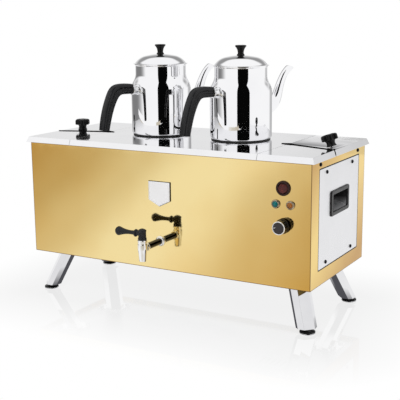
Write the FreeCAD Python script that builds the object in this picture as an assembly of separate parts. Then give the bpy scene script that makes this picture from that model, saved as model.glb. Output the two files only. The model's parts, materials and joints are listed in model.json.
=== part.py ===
import FreeCAD, Part
import math
import os
from FreeCAD import Vector

# Two-pot tea urn: a gilt steel casing round a water tank, on four splayed legs.
# The row frame stands on the floor: X runs along the front, Y goes back, Z goes up.
# All sizes are millimetres.

# Casing
CASE_W = 680.0
CASE_D = 290.0
CASE_H = 250.0
SHEET = 1.5
LEG_CLEAR = 95.0

# The tap's reach in front and the spouts' reach behind set where Y is zero
TAP_AXIS_OUT = 69.0
TAP_TOP_R = 10.0
SPOUT_OUT = 34.15
WHOLE_D = TAP_AXIS_OUT + TAP_TOP_R + CASE_D + SPOUT_OUT
FRONT = TAP_AXIS_OUT + TAP_TOP_R - WHOLE_D / 2
BACK = FRONT + CASE_D
MID_Y = (FRONT + BACK) / 2
SIDE = CASE_W / 2
CASE_Z = LEG_CLEAR
CASE_TOP = LEG_CLEAR + CASE_H

# Folded edges of the casing
RETURN_DEPTH = 15.0
TRAY_LIFT = 8.0
TRAY_WALL = 12.0
RIM_DROP = 11.0

# Deck of mirror steel on top
DECK_RISE = 13.0
DECK_OVERHANG = 3.0
LIP_OVERHANG = 7.5
LIP_LIFT = 1.0
DECK_TOP = CASE_TOP + DECK_RISE
DECK_UNDER = DECK_TOP - SHEET
SEAM_X = 227.0
SPLIT_INNER_Y = FRONT + 143.0
SPLIT_OUTER_Y = FRONT + 106.0
SPLIT_GAP_INNER = 7.0
SPLIT_GAP_OUTER = 3.5
SEAM_CUT = 0.6
FINGER_HALF_X = 15.0
FINGER_HALF_Y = 8.0
STIFFENER = 9.0

# Water tank and the dry bay for the electrics at its front right corner
TANK_HALF = 290.0
TANK_SIDE_GAP = 14.0
TANK_FLOOR = CASE_Z + 24.0
BAY_X = 215.0
BAY_DEPTH = 152.0
TANK_CORNER_R = 12.0

# Teapots: shell, lid, knob, spout and grip, with heights above the deck
POT_X = 101.0
POT_Y = FRONT + 172.0
STEAM_HOLE_R = 54.0
SEAL_R = 64.0
SEAL_H = 2.0
POT_HANDLE_ANGLE = 251.0
POT_R = 67.0
POT_FOOT_ROUND = 5.0
POT_FLOOR_T = 5.0
POT_NECK_R = 56.5
POT_RIM_R = 58.0
POT_WALL = 1.2
POT_SHOULDER_LOW = 104.0
POT_SHOULDER_HIGH = 134.0
POT_RIM_Z = 157.0
BRIM_R = 60.5
BRIM_T = 0.9
LID_COLLAR_R = POT_NECK_R - POT_WALL - 1.0
LID_COLLAR_DROP = 9.0
LID_EDGE = (56.2, 159.6)
LID_SHOULDER = (48.0, 167.9)
LID_CROWN = (36.0, 174.0)
POT_LID_TOP = 178.5
POT_KNOB_TOP = 200.0
FERRULE_Z = 103.5
FERRULE_END = 83.0

# Spout and grip, each as distance from the pot's axis and height above the deck
SPOUT_PATH = ((62, 60), (80, 62), (95, 67), (106, 77), (113, 92), (120, 111), (130, 129), (142, 141),
              (153.5, 148))
SPOUT_RADII = (18, 16.5, 14, 11.5, 9.4, 7.8, 6.6, 6.8, 7.6)
SPOUT_TILTS = (8, 12, 35, 58, 70, 68, 58, 45, 66)
GRIP_PATH = ((83, 106), (105, 107.5), (127, 107), (138.5, 87), (147, 67), (154, 44), (158.5, 20.5))
GRIP_SIZES = ((22, 19), (24, 20), (30, 21), (24.5, 21), (23, 21), (22, 21), (20, 20))
GRIP_TILTS = (0, 0, -38, -66, -72, -78, -82)

# Tap
TAP_Z = CASE_Z + 61.5
TAP_Y = FRONT - TAP_AXIS_OUT
SHANK_R = 7.0
SHANK_BORE_R = 4.5
COLLAR_R = 11.0
COLLAR_T = 6.0
SPINDLE_R = 6.0
NOZZLE_R = 4.5
NOZZLE_DROP = 27.0
VALVE_FLOOR = 1.0
RUNNING = 0.05
LEVER_LENGTH = 65.0
LEVER_Z = 31.0
CAP_TOP = 42.0

# Controls on the front, right of the middle
CONTROL_X = 281.5
SWITCH_Z = CASE_Z + 199.5
SWITCH_R = 15.0
SWITCH_T = 5.0
SWITCH_BODY_R = 11.5
WELL_R = 10.6
PADDLE_R = 9.6
PIVOT_OUT = 2.2
PIVOT_R = 1.3
LAMP_Z = CASE_Z + 167.5
LAMP_STEP = 15.5
LAMP_R = 9.0
DIAL_Z = CASE_Z + 125.0
DIAL_R = 15.0
DIAL_OUT = 23.0
ROCKER_TILT = 8.0

# Badge plate, left bare
BADGE_HALF = 26.5
BADGE_TOP = CASE_Z + 189.0
BADGE_SHOULDER = CASE_Z + 148.7
BADGE_TIP = CASE_Z + 135.6
BADGE_T = 3.0

# Service panels and carry handles in both sides
PANEL_W = 214.0
PANEL_H = 200.0
PANEL_MID_Y = MID_Y + 1.0
PANEL_MID_Z = CASE_Z + 133.0
PANEL_GAP_Z = 2.5
PANEL_GAP_Y = 0.8
FRAME_RIM = 13.0
SCREW_HALF_Y = 69.5
SCREW_HALF_Z = 91.0
TOP_SCREW_HALF_Y = 102.0
TOP_SCREW_Z = CASE_TOP - 6.5
SCREW_R = 2.0
HANDLE_W = 98.0
HANDLE_H = 52.0
HANDLE_Z = CASE_Z + 155.0
HANDLE_RIM = 6.0
HANDLE_PROUD = 3.0
HANDLE_DEPTH = 32.0
HANDLE_WALL = 2.0

# Legs
LEG_TOP_IN = Vector(52.0, 62.0, 0)
LEG_FOOT_IN = Vector(16.5, 29.0, 0)
LEG_WIDE = 44.0
LEG_THICK = 34.0
LEG_TAPER = 0.95
LEG_FLANGE = 62.0
LEG_FLANGE_T = 3.0
LEG_BOLT_HALF = 23.0
FOOT_H = 10.0
FOOT_R = 16.0
STEM_R = 4.0
STEM_TOP = 22.0

# Heater, sensor and cable gland
HEATER_AT = Vector(BAY_X, FRONT + 70.0, CASE_Z + 62.0)
HEATER_THREAD_R = 20.0
HEATER_REACH = 330.0
PROBE_AT = Vector(BAY_X, FRONT + 110.0, CASE_Z + 112.0)
PROBE_R = 5.0
GLAND_X = 316.0
GLAND_OUT = 28.0
GLAND_Z = CASE_Z + 52.0
GLAND_THREAD_R = 8.0
GLAND_BORE_R = 4.5

# Star knobs: the left one is screwed down, the right one is loose and leans inwards
KNOB_AT = {-1: Vector(-306.0, FRONT + 147.0, DECK_TOP), 1: Vector(328.0, FRONT + 128.0, DECK_TOP)}
KNOB_LEAN = {-1: 0.0, 1: 18.0}
KNOB_RAISE = {-1: 0.3, 1: 3.9}
KNOB_HOLE_R = {-1: 3.3, 1: 5.5}
KNOB_STUD = {-1: 9.5, 1: 7.0}
STAR_R = 17.5
STAR_LOBES = 6
SCALLOP_R = 5.4
STAR_HUB_R = 10.5
STAR_LOW = 12.0
STAR_TOP = 25.0
STUD_R = 3.0

X_AXIS = Vector(1, 0, 0)
Y_AXIS = Vector(0, 1, 0)
Z_AXIS = Vector(0, 0, 1)
ORIGIN = Vector(0, 0, 0)
SIDES = {"left": -1, "right": 1}


def box(low, high):
    """Block between two corners."""
    size = [b - a for a, b in zip(low, high)]
    return Part.makeBox(*size, Vector(*low))


def rod(radius, start, end):
    """Round bar from one point to another."""
    run = end - start
    return Part.makeCylinder(radius, run.Length, start, run)


def outline(steps):
    """Closed wire in the XZ plane. A step is a point, or a point on an arc and the arc's end."""
    edges = []
    last = Vector(steps[0][0], 0, steps[0][1])
    for step in steps[1:] + steps[:1]:
        end = Vector(step[-2], 0, step[-1])
        if len(step) == 4:
            edges.append(Part.Arc(last, Vector(step[0], 0, step[1]), end).toShape())
        elif end.distanceToPoint(last) > 1e-6:
            edges.append(Part.LineSegment(last, end).toShape())
        last = end
    return Part.Wire(edges)


def dome_step(radius, low, top):
    """Step of an outline: a ball's arc from radius and low up to the axis at top."""
    rise = top - low
    ball = (radius * radius + rise * rise) / (2 * rise)
    half = math.asin(radius / ball) / 2
    return (ball * math.sin(half), top - ball + ball * math.cos(half), 0, top)


def drawn_in(low, high):
    """Two steps of an outline: tangent arcs that join two upright walls, from low up to high."""
    across = (low[0] - high[0]) / 2
    climb = (high[1] - low[1]) / 2
    ball = (climb * climb + across * across) / (2 * across)
    half = math.asin(climb / ball) / 2
    slip = ball * (1 - math.cos(half))
    rise = ball * math.sin(half)
    bend = (low[0] - across, low[1] + climb)
    return [(low[0] - slip, low[1] + rise, *bend), (high[0] + slip, high[1] - rise, *high)]


def round_step(start, end):
    """Step of an outline: a quarter circle that bulges away from the axis and down, from start to end."""
    reach = math.sqrt(0.5)
    middle = (start[0] + (end[0] - start[0]) * reach, end[1] + (start[1] - end[1]) * reach)
    return (*middle, *end)


def turned(steps, at=ORIGIN, axis=Z_AXIS):
    """Solid of revolution: the steps give radius and height, and the height runs along axis."""
    solid = Part.Face(outline(steps)).revolve(ORIGIN, Z_AXIS, 360)
    return placed(solid, at, axis)


def placed(shape, at, axis=Z_AXIS):
    """The shape with its own Z turned to axis and its origin moved to a point."""
    turn = FreeCAD.Rotation(Z_AXIS, axis)
    return shape.transformed(FreeCAD.Placement(at, turn).toMatrix())


def swung(shape, angle, at=ORIGIN):
    """The shape turned about the upright line through a point."""
    copy = shape.copy()
    copy.rotate(at, Z_AXIS, angle)
    return copy


def rounded(corners, radius):
    """Closed wire through flat corners, each one rounded to the radius."""
    edges = []
    count = len(corners)
    joints = []
    for i, corner in enumerate(corners):
        before = (corners[i - 1] - corner).normalize()
        after = (corners[(i + 1) % count] - corner).normalize()
        half = before.getAngle(after) / 2
        reach = radius / math.tan(half)
        middle = corner + (before + after).normalize() * (radius / math.sin(half) - radius)
        joints.append((corner + before * reach, middle, corner + after * reach))
    for i, (start, middle, end) in enumerate(joints):
        edges.append(Part.Arc(start, middle, end).toShape())
        following = joints[(i + 1) % count][0]
        edges.append(Part.LineSegment(end, following).toShape())
    return Part.Wire(edges)


def slab(corners, radius, run):
    """Plate from flat corners, its upright edges rounded, thickened along run."""
    return Part.Face(rounded(corners, radius)).extrude(run)


def rectangle_xy(half_x, half_y, z, mid_y=0.0):
    """Corners of a level rectangle centred on X zero."""
    ends = ((-half_x, -half_y), (half_x, -half_y), (half_x, half_y), (-half_x, half_y))
    return [Vector(x, y + mid_y, z) for x, y in ends]


def rectangle_yz(half_y, half_z, x=0.0, mid_y=0.0, mid_z=0.0):
    """Corners of an upright rectangle that faces along X."""
    ends = ((-half_y, -half_z), (half_y, -half_z), (half_y, half_z), (-half_y, half_z))
    return [Vector(x, y + mid_y, z + mid_z) for y, z in ends]


def loft(wires, ruled=False):
    """Closed solid through a row of wires."""
    return Part.makeLoft(wires, True, ruled)


def mirrored_x(shape):
    """The shape's twin across the plane X zero."""
    return shape.mirror(ORIGIN, X_AXIS)


def folded_face(y_outer, inward):
    """Front or back casing sheet, and the two angles spot-welded behind its ends."""
    inner = y_outer + inward * SHEET
    deep = inner + inward * RETURN_DEPTH
    near, far = sorted((y_outer, inner))
    sheet = box((-SIDE, near, CASE_Z), (SIDE, far, CASE_TOP))
    near, far = sorted((inner, deep))
    low = CASE_Z + TRAY_LIFT + TRAY_WALL + 2 * SHEET
    high = CASE_TOP - RIM_DROP - 2 * SHEET
    flange = box((SIDE - 2 * SHEET, near, low), (SIDE - SHEET, far, high))
    return [sheet, flange, mirrored_x(flange)]


def front_panel():
    """Front sheet with the holes for the tap and the controls."""
    through = Vector(0, 4 * SHEET, 0)
    holes = []
    for x, z, radius in (
        (0.0, TAP_Z, SHANK_R + 0.3),
        (CONTROL_X, SWITCH_Z, SWITCH_BODY_R + 0.3),
        (CONTROL_X - LAMP_STEP, LAMP_Z, 5.3),
        (CONTROL_X + LAMP_STEP, LAMP_Z, 5.3),
        (CONTROL_X, DIAL_Z, 5.0),
    ):
        start = Vector(x, FRONT - SHEET, z)
        holes.append(rod(radius, start, start + through))
    sheet, *angles = folded_face(FRONT, 1)
    return [sheet.cut(holes)] + angles


def back_panel():
    """Back sheet with the hole of the cable gland."""
    start = Vector(GLAND_X, BACK - 2 * SHEET, GLAND_Z)
    hole = rod(GLAND_THREAD_R + 0.3, start, start + Y_AXIS * 4 * SHEET)
    sheet, *angles = folded_face(BACK, -1)
    return [sheet.cut(hole)] + angles


def side_panel(sign):
    """Side sheet with the window of the service panel and the frame welded behind it."""
    sheet = box((SIDE - SHEET, FRONT + SHEET, CASE_Z), (SIDE, BACK - SHEET, CASE_TOP))
    window = slab(
        rectangle_yz(PANEL_W / 2 + PANEL_GAP_Y, PANEL_H / 2 + PANEL_GAP_Z, SIDE - 2 * SHEET, PANEL_MID_Y,
                     PANEL_MID_Z),
        4.0,
        X_AXIS * 3 * SHEET,
    )
    ring_low = CASE_Z + TRAY_LIFT + TRAY_WALL + 1
    ring_high = CASE_TOP - RIM_DROP - 0.3
    outer = slab(
        rectangle_yz(PANEL_W / 2 + FRAME_RIM, (ring_high - ring_low) / 2, SIDE - 2 * SHEET, PANEL_MID_Y,
                     (ring_high + ring_low) / 2),
        2.0,
        X_AXIS * SHEET,
    )
    inner = slab(
        rectangle_yz(PANEL_W / 2 - 2 * FRAME_RIM, PANEL_H / 2 - FRAME_RIM - 4, SIDE - 3 * SHEET, PANEL_MID_Y,
                     PANEL_MID_Z),
        6.0,
        X_AXIS * 3 * SHEET,
    )
    panel = sheet.cut(window).fuse(outer.cut(inner))
    panel = panel.cut([rod(SCREW_R + 0.2, at - X_AXIS * 9, at + X_AXIS) for at in screw_points()])
    return side_of(panel.removeSplitter(), sign)


def side_of(shape, sign):
    """A piece modelled on the right side, kept there or mirrored to the left."""
    return shape if sign > 0 else mirrored_x(shape)


def screw_points():
    """Centres of the six screws on the outer face of the right side."""
    points = []
    for a in (-1, 1):
        points.append(Vector(SIDE, MID_Y + a * TOP_SCREW_HALF_Y, TOP_SCREW_Z))
        for b in (-1, 1):
            points.append(Vector(SIDE, PANEL_MID_Y + a * SCREW_HALF_Y, PANEL_MID_Z + b * SCREW_HALF_Z))
    return points


def side_screws():
    """Twelve button-head screws: four on each service panel and two into each tank rim."""
    screw = turned([(0, -7), (SCREW_R, -7), (SCREW_R, 0), (4, 0), (4, 0.8), dome_step(4, 0.8, 2.6)])
    right = [placed(screw, at, X_AXIS) for at in screw_points()]
    return right + [mirrored_x(one) for one in right]


def service_panel(sign):
    """Steel cover in the side window, cut out for the carry handle."""
    corners = rectangle_yz(PANEL_W / 2, PANEL_H / 2, SIDE - SHEET, PANEL_MID_Y, PANEL_MID_Z)
    plate = slab(corners, 3.0, X_AXIS * SHEET)
    cut = slab(
        rectangle_yz(HANDLE_W / 2 - HANDLE_RIM + 0.3, HANDLE_H / 2 - HANDLE_RIM + 0.3, SIDE - 2 * SHEET,
                     PANEL_MID_Y, HANDLE_Z),
        4.3,
        X_AXIS * 3 * SHEET,
    )
    holes = [rod(SCREW_R + 0.2, at - X_AXIS * 9, at + X_AXIS) for at in screw_points()]
    return side_of(plate.cut([cut] + holes), sign)


def carry_handle(sign):
    """Moulded grip cup: a rim on the service panel and a pocket whose floor climbs inwards."""
    def ring(half_y, half_z, x, lift, radius):
        return rounded(rectangle_yz(half_y, half_z, SIDE + x, PANEL_MID_Y, HANDLE_Z + lift), radius)

    mouth_y = HANDLE_W / 2 - HANDLE_RIM - HANDLE_WALL
    mouth_z = HANDLE_H / 2 - HANDLE_RIM - HANDLE_WALL
    back_y = mouth_y - 5
    back_z = mouth_z - 6
    lift = 5.5
    rim = Part.Face(ring(HANDLE_W / 2, HANDLE_H / 2, 0, 0, 6)).extrude(X_AXIS * HANDLE_PROUD)
    crown = [e for e in rim.Edges if e.BoundBox.XMin > SIDE + HANDLE_PROUD - 0.1]
    rim = rim.makeFillet(1.8, crown)
    cup = loft([
        ring(mouth_y + HANDLE_WALL, mouth_z + HANDLE_WALL, 0, 0, 4),
        ring(mouth_y + HANDLE_WALL, mouth_z + HANDLE_WALL, -3, 0, 4),
        ring(back_y + HANDLE_WALL, back_z + HANDLE_WALL, -HANDLE_DEPTH - HANDLE_WALL, lift, 4),
    ], True)
    pocket = loft([
        ring(mouth_y, mouth_z, HANDLE_PROUD + 1, 0, 3),
        ring(mouth_y, mouth_z, -2, 0, 3),
        ring(back_y, back_z, -HANDLE_DEPTH, lift, 3),
    ], True)
    return side_of(rim.fuse(cup).cut(pocket).removeSplitter(), sign)


def base_tray():
    """Floor of the casing: a folded tray with slots under the electrics and holes for the leg bolts."""
    low = CASE_Z + TRAY_LIFT
    half_x = SIDE - SHEET
    half_y = CASE_D / 2 - SHEET
    top = low + TRAY_WALL
    tray = box((-half_x, MID_Y - half_y, low), (half_x, MID_Y + half_y, top))
    hollow = box((SHEET - half_x, MID_Y - half_y + SHEET, low + SHEET),
                 (half_x - SHEET, MID_Y + half_y - SHEET, top + SHEET))
    slots = []
    for row in range(2):
        for column in range(5):
            x = BAY_X - 22 + column * 12
            y = FRONT + 28 + row * 46
            slots.append(slab(slot_corners(x, y, 5.0, 34.0, low - SHEET), 2.4, Z_AXIS * 4 * SHEET))
    holes = [rod(3.3, at - Z_AXIS * 6, at + Z_AXIS * 6) for at in leg_bolt_points()]
    return tray.cut([hollow] + slots + holes)


def slot_corners(x, y, width, length, z):
    """Corners of a slot that runs along Y."""
    across = X_AXIS * width
    along = Y_AXIS * length
    corner = Vector(x, y, z)
    return [corner, corner + across, corner + across + along, corner + along]


def tank_corners(z):
    """Plan of the tank: a rectangle without its front right corner."""
    front = FRONT + TANK_SIDE_GAP
    back = BACK - TANK_SIDE_GAP
    step = FRONT + BAY_DEPTH
    plan = ((-TANK_HALF, front), (BAY_X, front), (BAY_X, step), (TANK_HALF, step), (TANK_HALF, back),
            (-TANK_HALF, back))
    return [Vector(x, y, z) for x, y in plan]


def tank():
    """Water tank, and its flat rim that lies in the casing's upper edge and turns down there."""
    outer_face = Part.Face(rounded(tank_corners(TANK_FLOOR), TANK_CORNER_R))
    block = outer_face.extrude(Z_AXIS * (DECK_UNDER - TANK_FLOOR))
    hollow = outer_face.makeOffset2D(-SHEET).extrude(Z_AXIS * (DECK_TOP - TANK_FLOOR))
    hollow.translate(Z_AXIS * SHEET)
    holes = [rod(SHANK_R + 0.3, Vector(0, FRONT, TAP_Z), Vector(0, FRONT + 40, TAP_Z))]
    holes.append(rod(HEATER_THREAD_R + 0.3, HEATER_AT - X_AXIS * 20, HEATER_AT + X_AXIS * 20))
    holes.append(rod(PROBE_R + 0.3, PROBE_AT - X_AXIS * 20, PROBE_AT + X_AXIS * 20))
    vessel = block.cut([hollow] + holes)

    half_x = SIDE - SHEET - 0.1
    half_y = CASE_D / 2 - SHEET - 0.1
    skirt_z = CASE_TOP - RIM_DROP
    rim = box((-half_x, MID_Y - half_y, skirt_z), (half_x, MID_Y + half_y, CASE_TOP))
    under = box((SHEET - half_x, MID_Y - half_y + SHEET, skirt_z - SHEET),
                (half_x - SHEET, MID_Y + half_y - SHEET, CASE_TOP - SHEET))
    screws = []
    for at in screw_points():
        if at.z > PANEL_MID_Z + PANEL_H / 2:
            hole = rod(SCREW_R + 0.2, at - X_AXIS * 9, at + X_AXIS)
            screws += [hole, mirrored_x(hole)]
    return [vessel, rim.cut([under, block] + screws)]


def whole_deck():
    """The deck as one bevelled shell, before it is parted into plates and lids."""
    def frustum(drop, side_in):
        top = rectangle_xy(SIDE + DECK_OVERHANG - side_in, CASE_D / 2 + DECK_OVERHANG - side_in,
                           DECK_TOP - drop, MID_Y)
        lip = rectangle_xy(SIDE + LIP_OVERHANG - side_in, CASE_D / 2 + LIP_OVERHANG - side_in,
                           CASE_TOP + LIP_LIFT - drop, MID_Y)
        return loft([Part.makePolygon(top + top[:1]), Part.makePolygon(lip + lip[:1])], True)

    return frustum(0, 0).cut(frustum(SHEET, SHEET * 0.8))


def split_y(x, side):
    """Depth of the slanted split at a distance x from the middle; side picks its front or rear edge."""
    share = (x - SEAM_X) / (SIDE - SEAM_X)
    centre = SPLIT_INNER_Y + (SPLIT_OUTER_Y - SPLIT_INNER_Y) * share
    gap = SPLIT_GAP_INNER + (SPLIT_GAP_OUTER - SPLIT_GAP_INNER) * share
    return centre + side * gap / 2


def prism(corners, low, high):
    """Upright prism over a polygon of (x, y) corners."""
    points = [Vector(x, y, low) for x, y in corners]
    return Part.Face(Part.makePolygon(points + points[:1])).extrude(Z_AXIS * (high - low))


def finger_hole():
    """Diamond hole for a fingertip where the lid's corner meets the middle plate."""
    y = split_y(SEAM_X, 0)
    corners = [
        Vector(SEAM_X - FINGER_HALF_X - 3, y - 1, CASE_TOP),
        Vector(SEAM_X - 1, y - FINGER_HALF_Y, CASE_TOP),
        Vector(SEAM_X + FINGER_HALF_X, split_y(SEAM_X + FINGER_HALF_X, -1), CASE_TOP),
        Vector(SEAM_X + FINGER_HALF_X, split_y(SEAM_X + FINGER_HALF_X, 1), CASE_TOP),
        Vector(SEAM_X + 3, y + FINGER_HALF_Y, CASE_TOP),
    ]
    return slab(corners, 1.2, Z_AXIS * 3 * DECK_RISE)


def stiffener(start, end):
    """Downturned edge under a deck sheet, from one (x, y) point to the other."""
    a = Vector(start[0], start[1], DECK_UNDER)
    b = Vector(end[0], end[1], DECK_UNDER)
    across = (b - a).cross(Z_AXIS).normalize() * SHEET
    points = [a, b, b + across, a + across, a]
    return Part.Face(Part.makePolygon(points)).extrude(-Z_AXIS * STIFFENER)


def top_plate():
    """Middle plate of the deck with the two steam holes, and the stiffening walls under its ends."""
    near = FRONT - 20
    far = BACK + 20
    reach = SEAM_X - SEAM_CUT / 2
    zone = prism([(-reach, near), (reach, near), (reach, far), (-reach, far)], CASE_TOP - 5, DECK_TOP + 5)
    finger = finger_hole()
    holes = [finger, mirrored_x(finger)]
    for sign in SIDES.values():
        low = Vector(sign * POT_X, POT_Y, CASE_TOP)
        holes.append(rod(STEAM_HOLE_R, low, low + Z_AXIS * 2 * DECK_RISE))
    edge = reach - 4
    seam = split_y(SEAM_X, 0)
    walls = []
    for low, high in ((FRONT + 19, seam - 12), (seam + 12, BACK - 19)):
        wall = stiffener((edge, low), (edge, high))
        walls += [wall, mirrored_x(wall)]
    return [whole_deck().common(zone).cut(holes)] + walls


def corner_plate(sign):
    """Fixed front corner of the deck, beside the lid."""
    near = FRONT - 20
    inner = SEAM_X + SEAM_CUT / 2
    outer = SIDE + 20
    zone = prism([(inner, near), (outer, near), (outer, split_y(outer, -1)), (inner, split_y(inner, -1))],
                 CASE_TOP - 5, DECK_TOP + 5)
    plate = whole_deck().common(zone).cut(finger_hole())
    start = SEAM_X + FINGER_HALF_X + 4
    wall = stiffener((start, split_y(start, -1) - 3), (TANK_HALF - 18, split_y(TANK_HALF - 18, -1) - 3))
    return side_of(plate.fuse(wall).removeSplitter(), sign)


def fill_lid(sign):
    """Lift-off lid over the filling mouth, with the hole for its star knob."""
    far = BACK + 20
    inner = SEAM_X + SEAM_CUT / 2
    outer = SIDE + 20
    zone = prism([(inner, split_y(inner, 1)), (outer, split_y(outer, 1)), (outer, far), (inner, far)],
                 CASE_TOP - 5, DECK_TOP + 5)
    plate = whole_deck().common(zone).cut(finger_hole())
    low = (SEAM_X + 6, FRONT + BAY_DEPTH + 6, DECK_UNDER - STIFFENER)
    high = (TANK_HALF - 8, BACK - TANK_SIDE_GAP - 8, DECK_UNDER)
    hollow = box((low[0] + SHEET, low[1] + SHEET, low[2] - 1), (high[0] - SHEET, high[1] - SHEET, high[2]))
    ring = box(low, high).cut(hollow)
    lid = side_of(plate.fuse(ring).removeSplitter(), sign)
    at = Vector(KNOB_AT[sign].x, KNOB_AT[sign].y, CASE_TOP)
    return lid.cut(rod(KNOB_HOLE_R[sign], at, at + Z_AXIS * 2 * DECK_RISE))


def knob_axis(sign):
    """Direction of the star knob's stud, upwards."""
    lean = math.radians(KNOB_LEAN[sign])
    return Vector(-sign * math.sin(lean), 0, math.cos(lean))


def star_knob(sign):
    """Six-lobed hand knob on a short hub, and its stud."""
    body = turned([
        (0, 0), (STAR_HUB_R, 0), (STAR_HUB_R - 1.5, STAR_LOW - 2),
        (STAR_HUB_R - 1, STAR_LOW - 0.6, STAR_HUB_R, STAR_LOW),
        (STAR_R - 1.5, STAR_LOW), (STAR_R, STAR_LOW + 1.5), (STAR_R, STAR_TOP - 3),
        (STAR_R - 2.5, STAR_TOP - 0.5), (STAR_R - 8, STAR_TOP), (0, STAR_TOP),
    ])
    scallops = []
    for i in range(STAR_LOBES):
        turn = math.radians(360.0 / STAR_LOBES * (i + 0.5))
        out = Vector(math.cos(turn), math.sin(turn), 0) * (STAR_R + 1.5)
        scallops.append(Part.makeCylinder(SCALLOP_R, STAR_TOP, out + Z_AXIS * (STAR_LOW - 1)))
    stud = rod(STUD_R, ORIGIN - Z_AXIS * KNOB_STUD[sign], ORIGIN)
    at = KNOB_AT[sign] + Z_AXIS * KNOB_RAISE[sign]
    return [placed(piece, at, knob_axis(sign)) for piece in (body.cut(scallops), stud)]


def lid_nuts():
    """Threaded bushes on the tank rim, one under each star knob."""
    nuts = []
    for sign in SIDES.values():
        at = KNOB_AT[sign]
        high = DECK_UNDER - 4 - CASE_TOP
        nut = turned([(STUD_R + 0.3, 0), (6.5, 0), (6.5, high - 1), (5.5, high), (STUD_R + 0.3, high)])
        nuts.append(placed(nut, Vector(at.x - 4 * max(sign, 0), at.y, CASE_TOP)))
    return nuts


def pot_seals():
    """Rings that the teapots stand on, round the steam holes."""
    rings = []
    for sign in SIDES.values():
        ring = turned([(STEAM_HOLE_R + 1, 0), (SEAL_R, 0), (SEAL_R, SEAL_H), (STEAM_HOLE_R + 1, SEAL_H)])
        rings.append(placed(ring, Vector(sign * POT_X, POT_Y, DECK_TOP)))
    return rings


def pot_outer():
    """Outer form of the pot: rounded foot, straight side, drawn-in shoulder, neck and rolled rim."""
    flat = (POT_R - POT_FOOT_ROUND, SEAL_H)
    foot_end = (POT_R, SEAL_H + POT_FOOT_ROUND)
    low = (POT_R, POT_SHOULDER_LOW)
    high = (POT_NECK_R, POT_SHOULDER_HIGH)
    return [
        (0, SEAL_H), flat, round_step(flat, foot_end), low, *drawn_in(low, high),
        (POT_NECK_R, POT_RIM_Z - 3), (POT_RIM_R, POT_RIM_Z - 2), (POT_RIM_R, POT_RIM_Z), (0, POT_RIM_Z),
    ]


def pot_inner():
    """Inner form of the pot, open through its rim."""
    side = POT_R - POT_WALL
    neck = POT_NECK_R - POT_WALL
    floor = SEAL_H + POT_FLOOR_T
    flat = (side - POT_FOOT_ROUND, floor)
    low = (side, POT_SHOULDER_LOW)
    return [
        (0, floor), flat, round_step(flat, (side, floor + POT_FOOT_ROUND)), low,
        *drawn_in(low, (neck, POT_SHOULDER_HIGH)), (neck, POT_RIM_Z + 5), (0, POT_RIM_Z + 5),
    ]


def grip_section(at, thick, wide, tilt):
    """Rounded rectangle across the grip's path."""
    climb = math.radians(tilt)
    up = Vector(-math.sin(climb), 0, math.cos(climb)) * (thick / 2)
    out = Y_AXIS * (wide / 2)
    corners = [at - up - out, at + up - out, at + up + out, at - up + out]
    return rounded(corners, min(thick, wide) * 0.34)


def spout(shrink):
    """Swan-neck spout as a solid; shrink gives its bore."""
    rings = []
    for (x, z), radius, tilt in zip(SPOUT_PATH, SPOUT_RADII, SPOUT_TILTS):
        climb = math.radians(tilt)
        normal = Vector(math.cos(climb), 0, math.sin(climb))
        rings.append(Part.Wire(Part.Circle(Vector(x, 0, z), normal, radius - shrink).toShape()))
    return loft(rings)


def pot_body(sign):
    """Teapot: drawn shell, and the spout and the handle's ferrule welded to it."""
    full = turned(pot_outer())
    bore = spout(POT_WALL)
    shell = full.cut([turned(pot_inner()), bore])
    inside = 6
    reach = FERRULE_END - POT_R + inside
    ferrule = turned([(0, 0), (12, 0), (12, inside + 2), (10.5, inside + 4.5), (10, reach), (0, reach)],
                     Vector(POT_R - inside, 0, FERRULE_Z), X_AXIS)
    pieces = []
    for piece in (shell, spout(0).cut([full, bore]), swung(ferrule.cut(full), 180)):
        piece = swung(piece, POT_HANDLE_ANGLE - 180)
        piece.translate(Vector(sign * POT_X, POT_Y, DECK_TOP))
        pieces.append(piece)
    return pieces


def pot_grip(sign):
    """Moulded grip that leaves the ferrule level and sweeps down beside the pot."""
    wires = []
    for (x, z), (thick, wide), tilt in zip(GRIP_PATH, GRIP_SIZES, GRIP_TILTS):
        wires.append(grip_section(Vector(x, 0, z), thick, wide, tilt))
    grip = loft(wires)
    grip = swung(grip, POT_HANDLE_ANGLE)
    grip.translate(Vector(sign * POT_X, POT_Y, DECK_TOP))
    return grip


def pot_lid(sign):
    """Domed lid with a thin flat brim on the rim, and its collar inside the neck."""
    under = POT_RIM_Z + 0.05
    bore = LID_COLLAR_R - POT_WALL
    dome = turned([
        (0, under), (BRIM_R, under), (BRIM_R, under + BRIM_T), LID_EDGE, (*LID_SHOULDER, *LID_CROWN),
        dome_step(*LID_CROWN, POT_LID_TOP),
    ])
    shoulder = (LID_SHOULDER[0] - 0.8, LID_SHOULDER[1] - 1.1)
    crown = (LID_CROWN[0] - 0.5, LID_CROWN[1] - POT_WALL)
    hollow = turned([
        (0, under - 1), (bore, under - 1), (bore, LID_EDGE[1] + 1.6), (*shoulder, *crown),
        dome_step(*crown, POT_LID_TOP - POT_WALL),
    ])
    low = under - LID_COLLAR_DROP
    collar = turned([(bore, low), (LID_COLLAR_R, low), (LID_COLLAR_R, under), (bore, under)])
    at = Vector(sign * POT_X, POT_Y, DECK_TOP)
    return [placed(piece, at) for piece in (dome.cut(hollow), collar)]


def pot_lid_knob(sign):
    """Waisted knob of the pot lid."""
    foot = POT_LID_TOP
    high = POT_KNOB_TOP
    knob = turned([
        (0, foot), (8.5, foot), (8.5, foot + 1.3), (6.7, foot + 3.5, 6.5, foot + 6),
        (7.4, foot + 11, 11.7, high - 3.5), (12.3, high - 2.2), (11.8, high - 0.8), (9, high), (0, high),
    ])
    return placed(knob, Vector(sign * POT_X, POT_Y, DECK_TOP))


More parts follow.
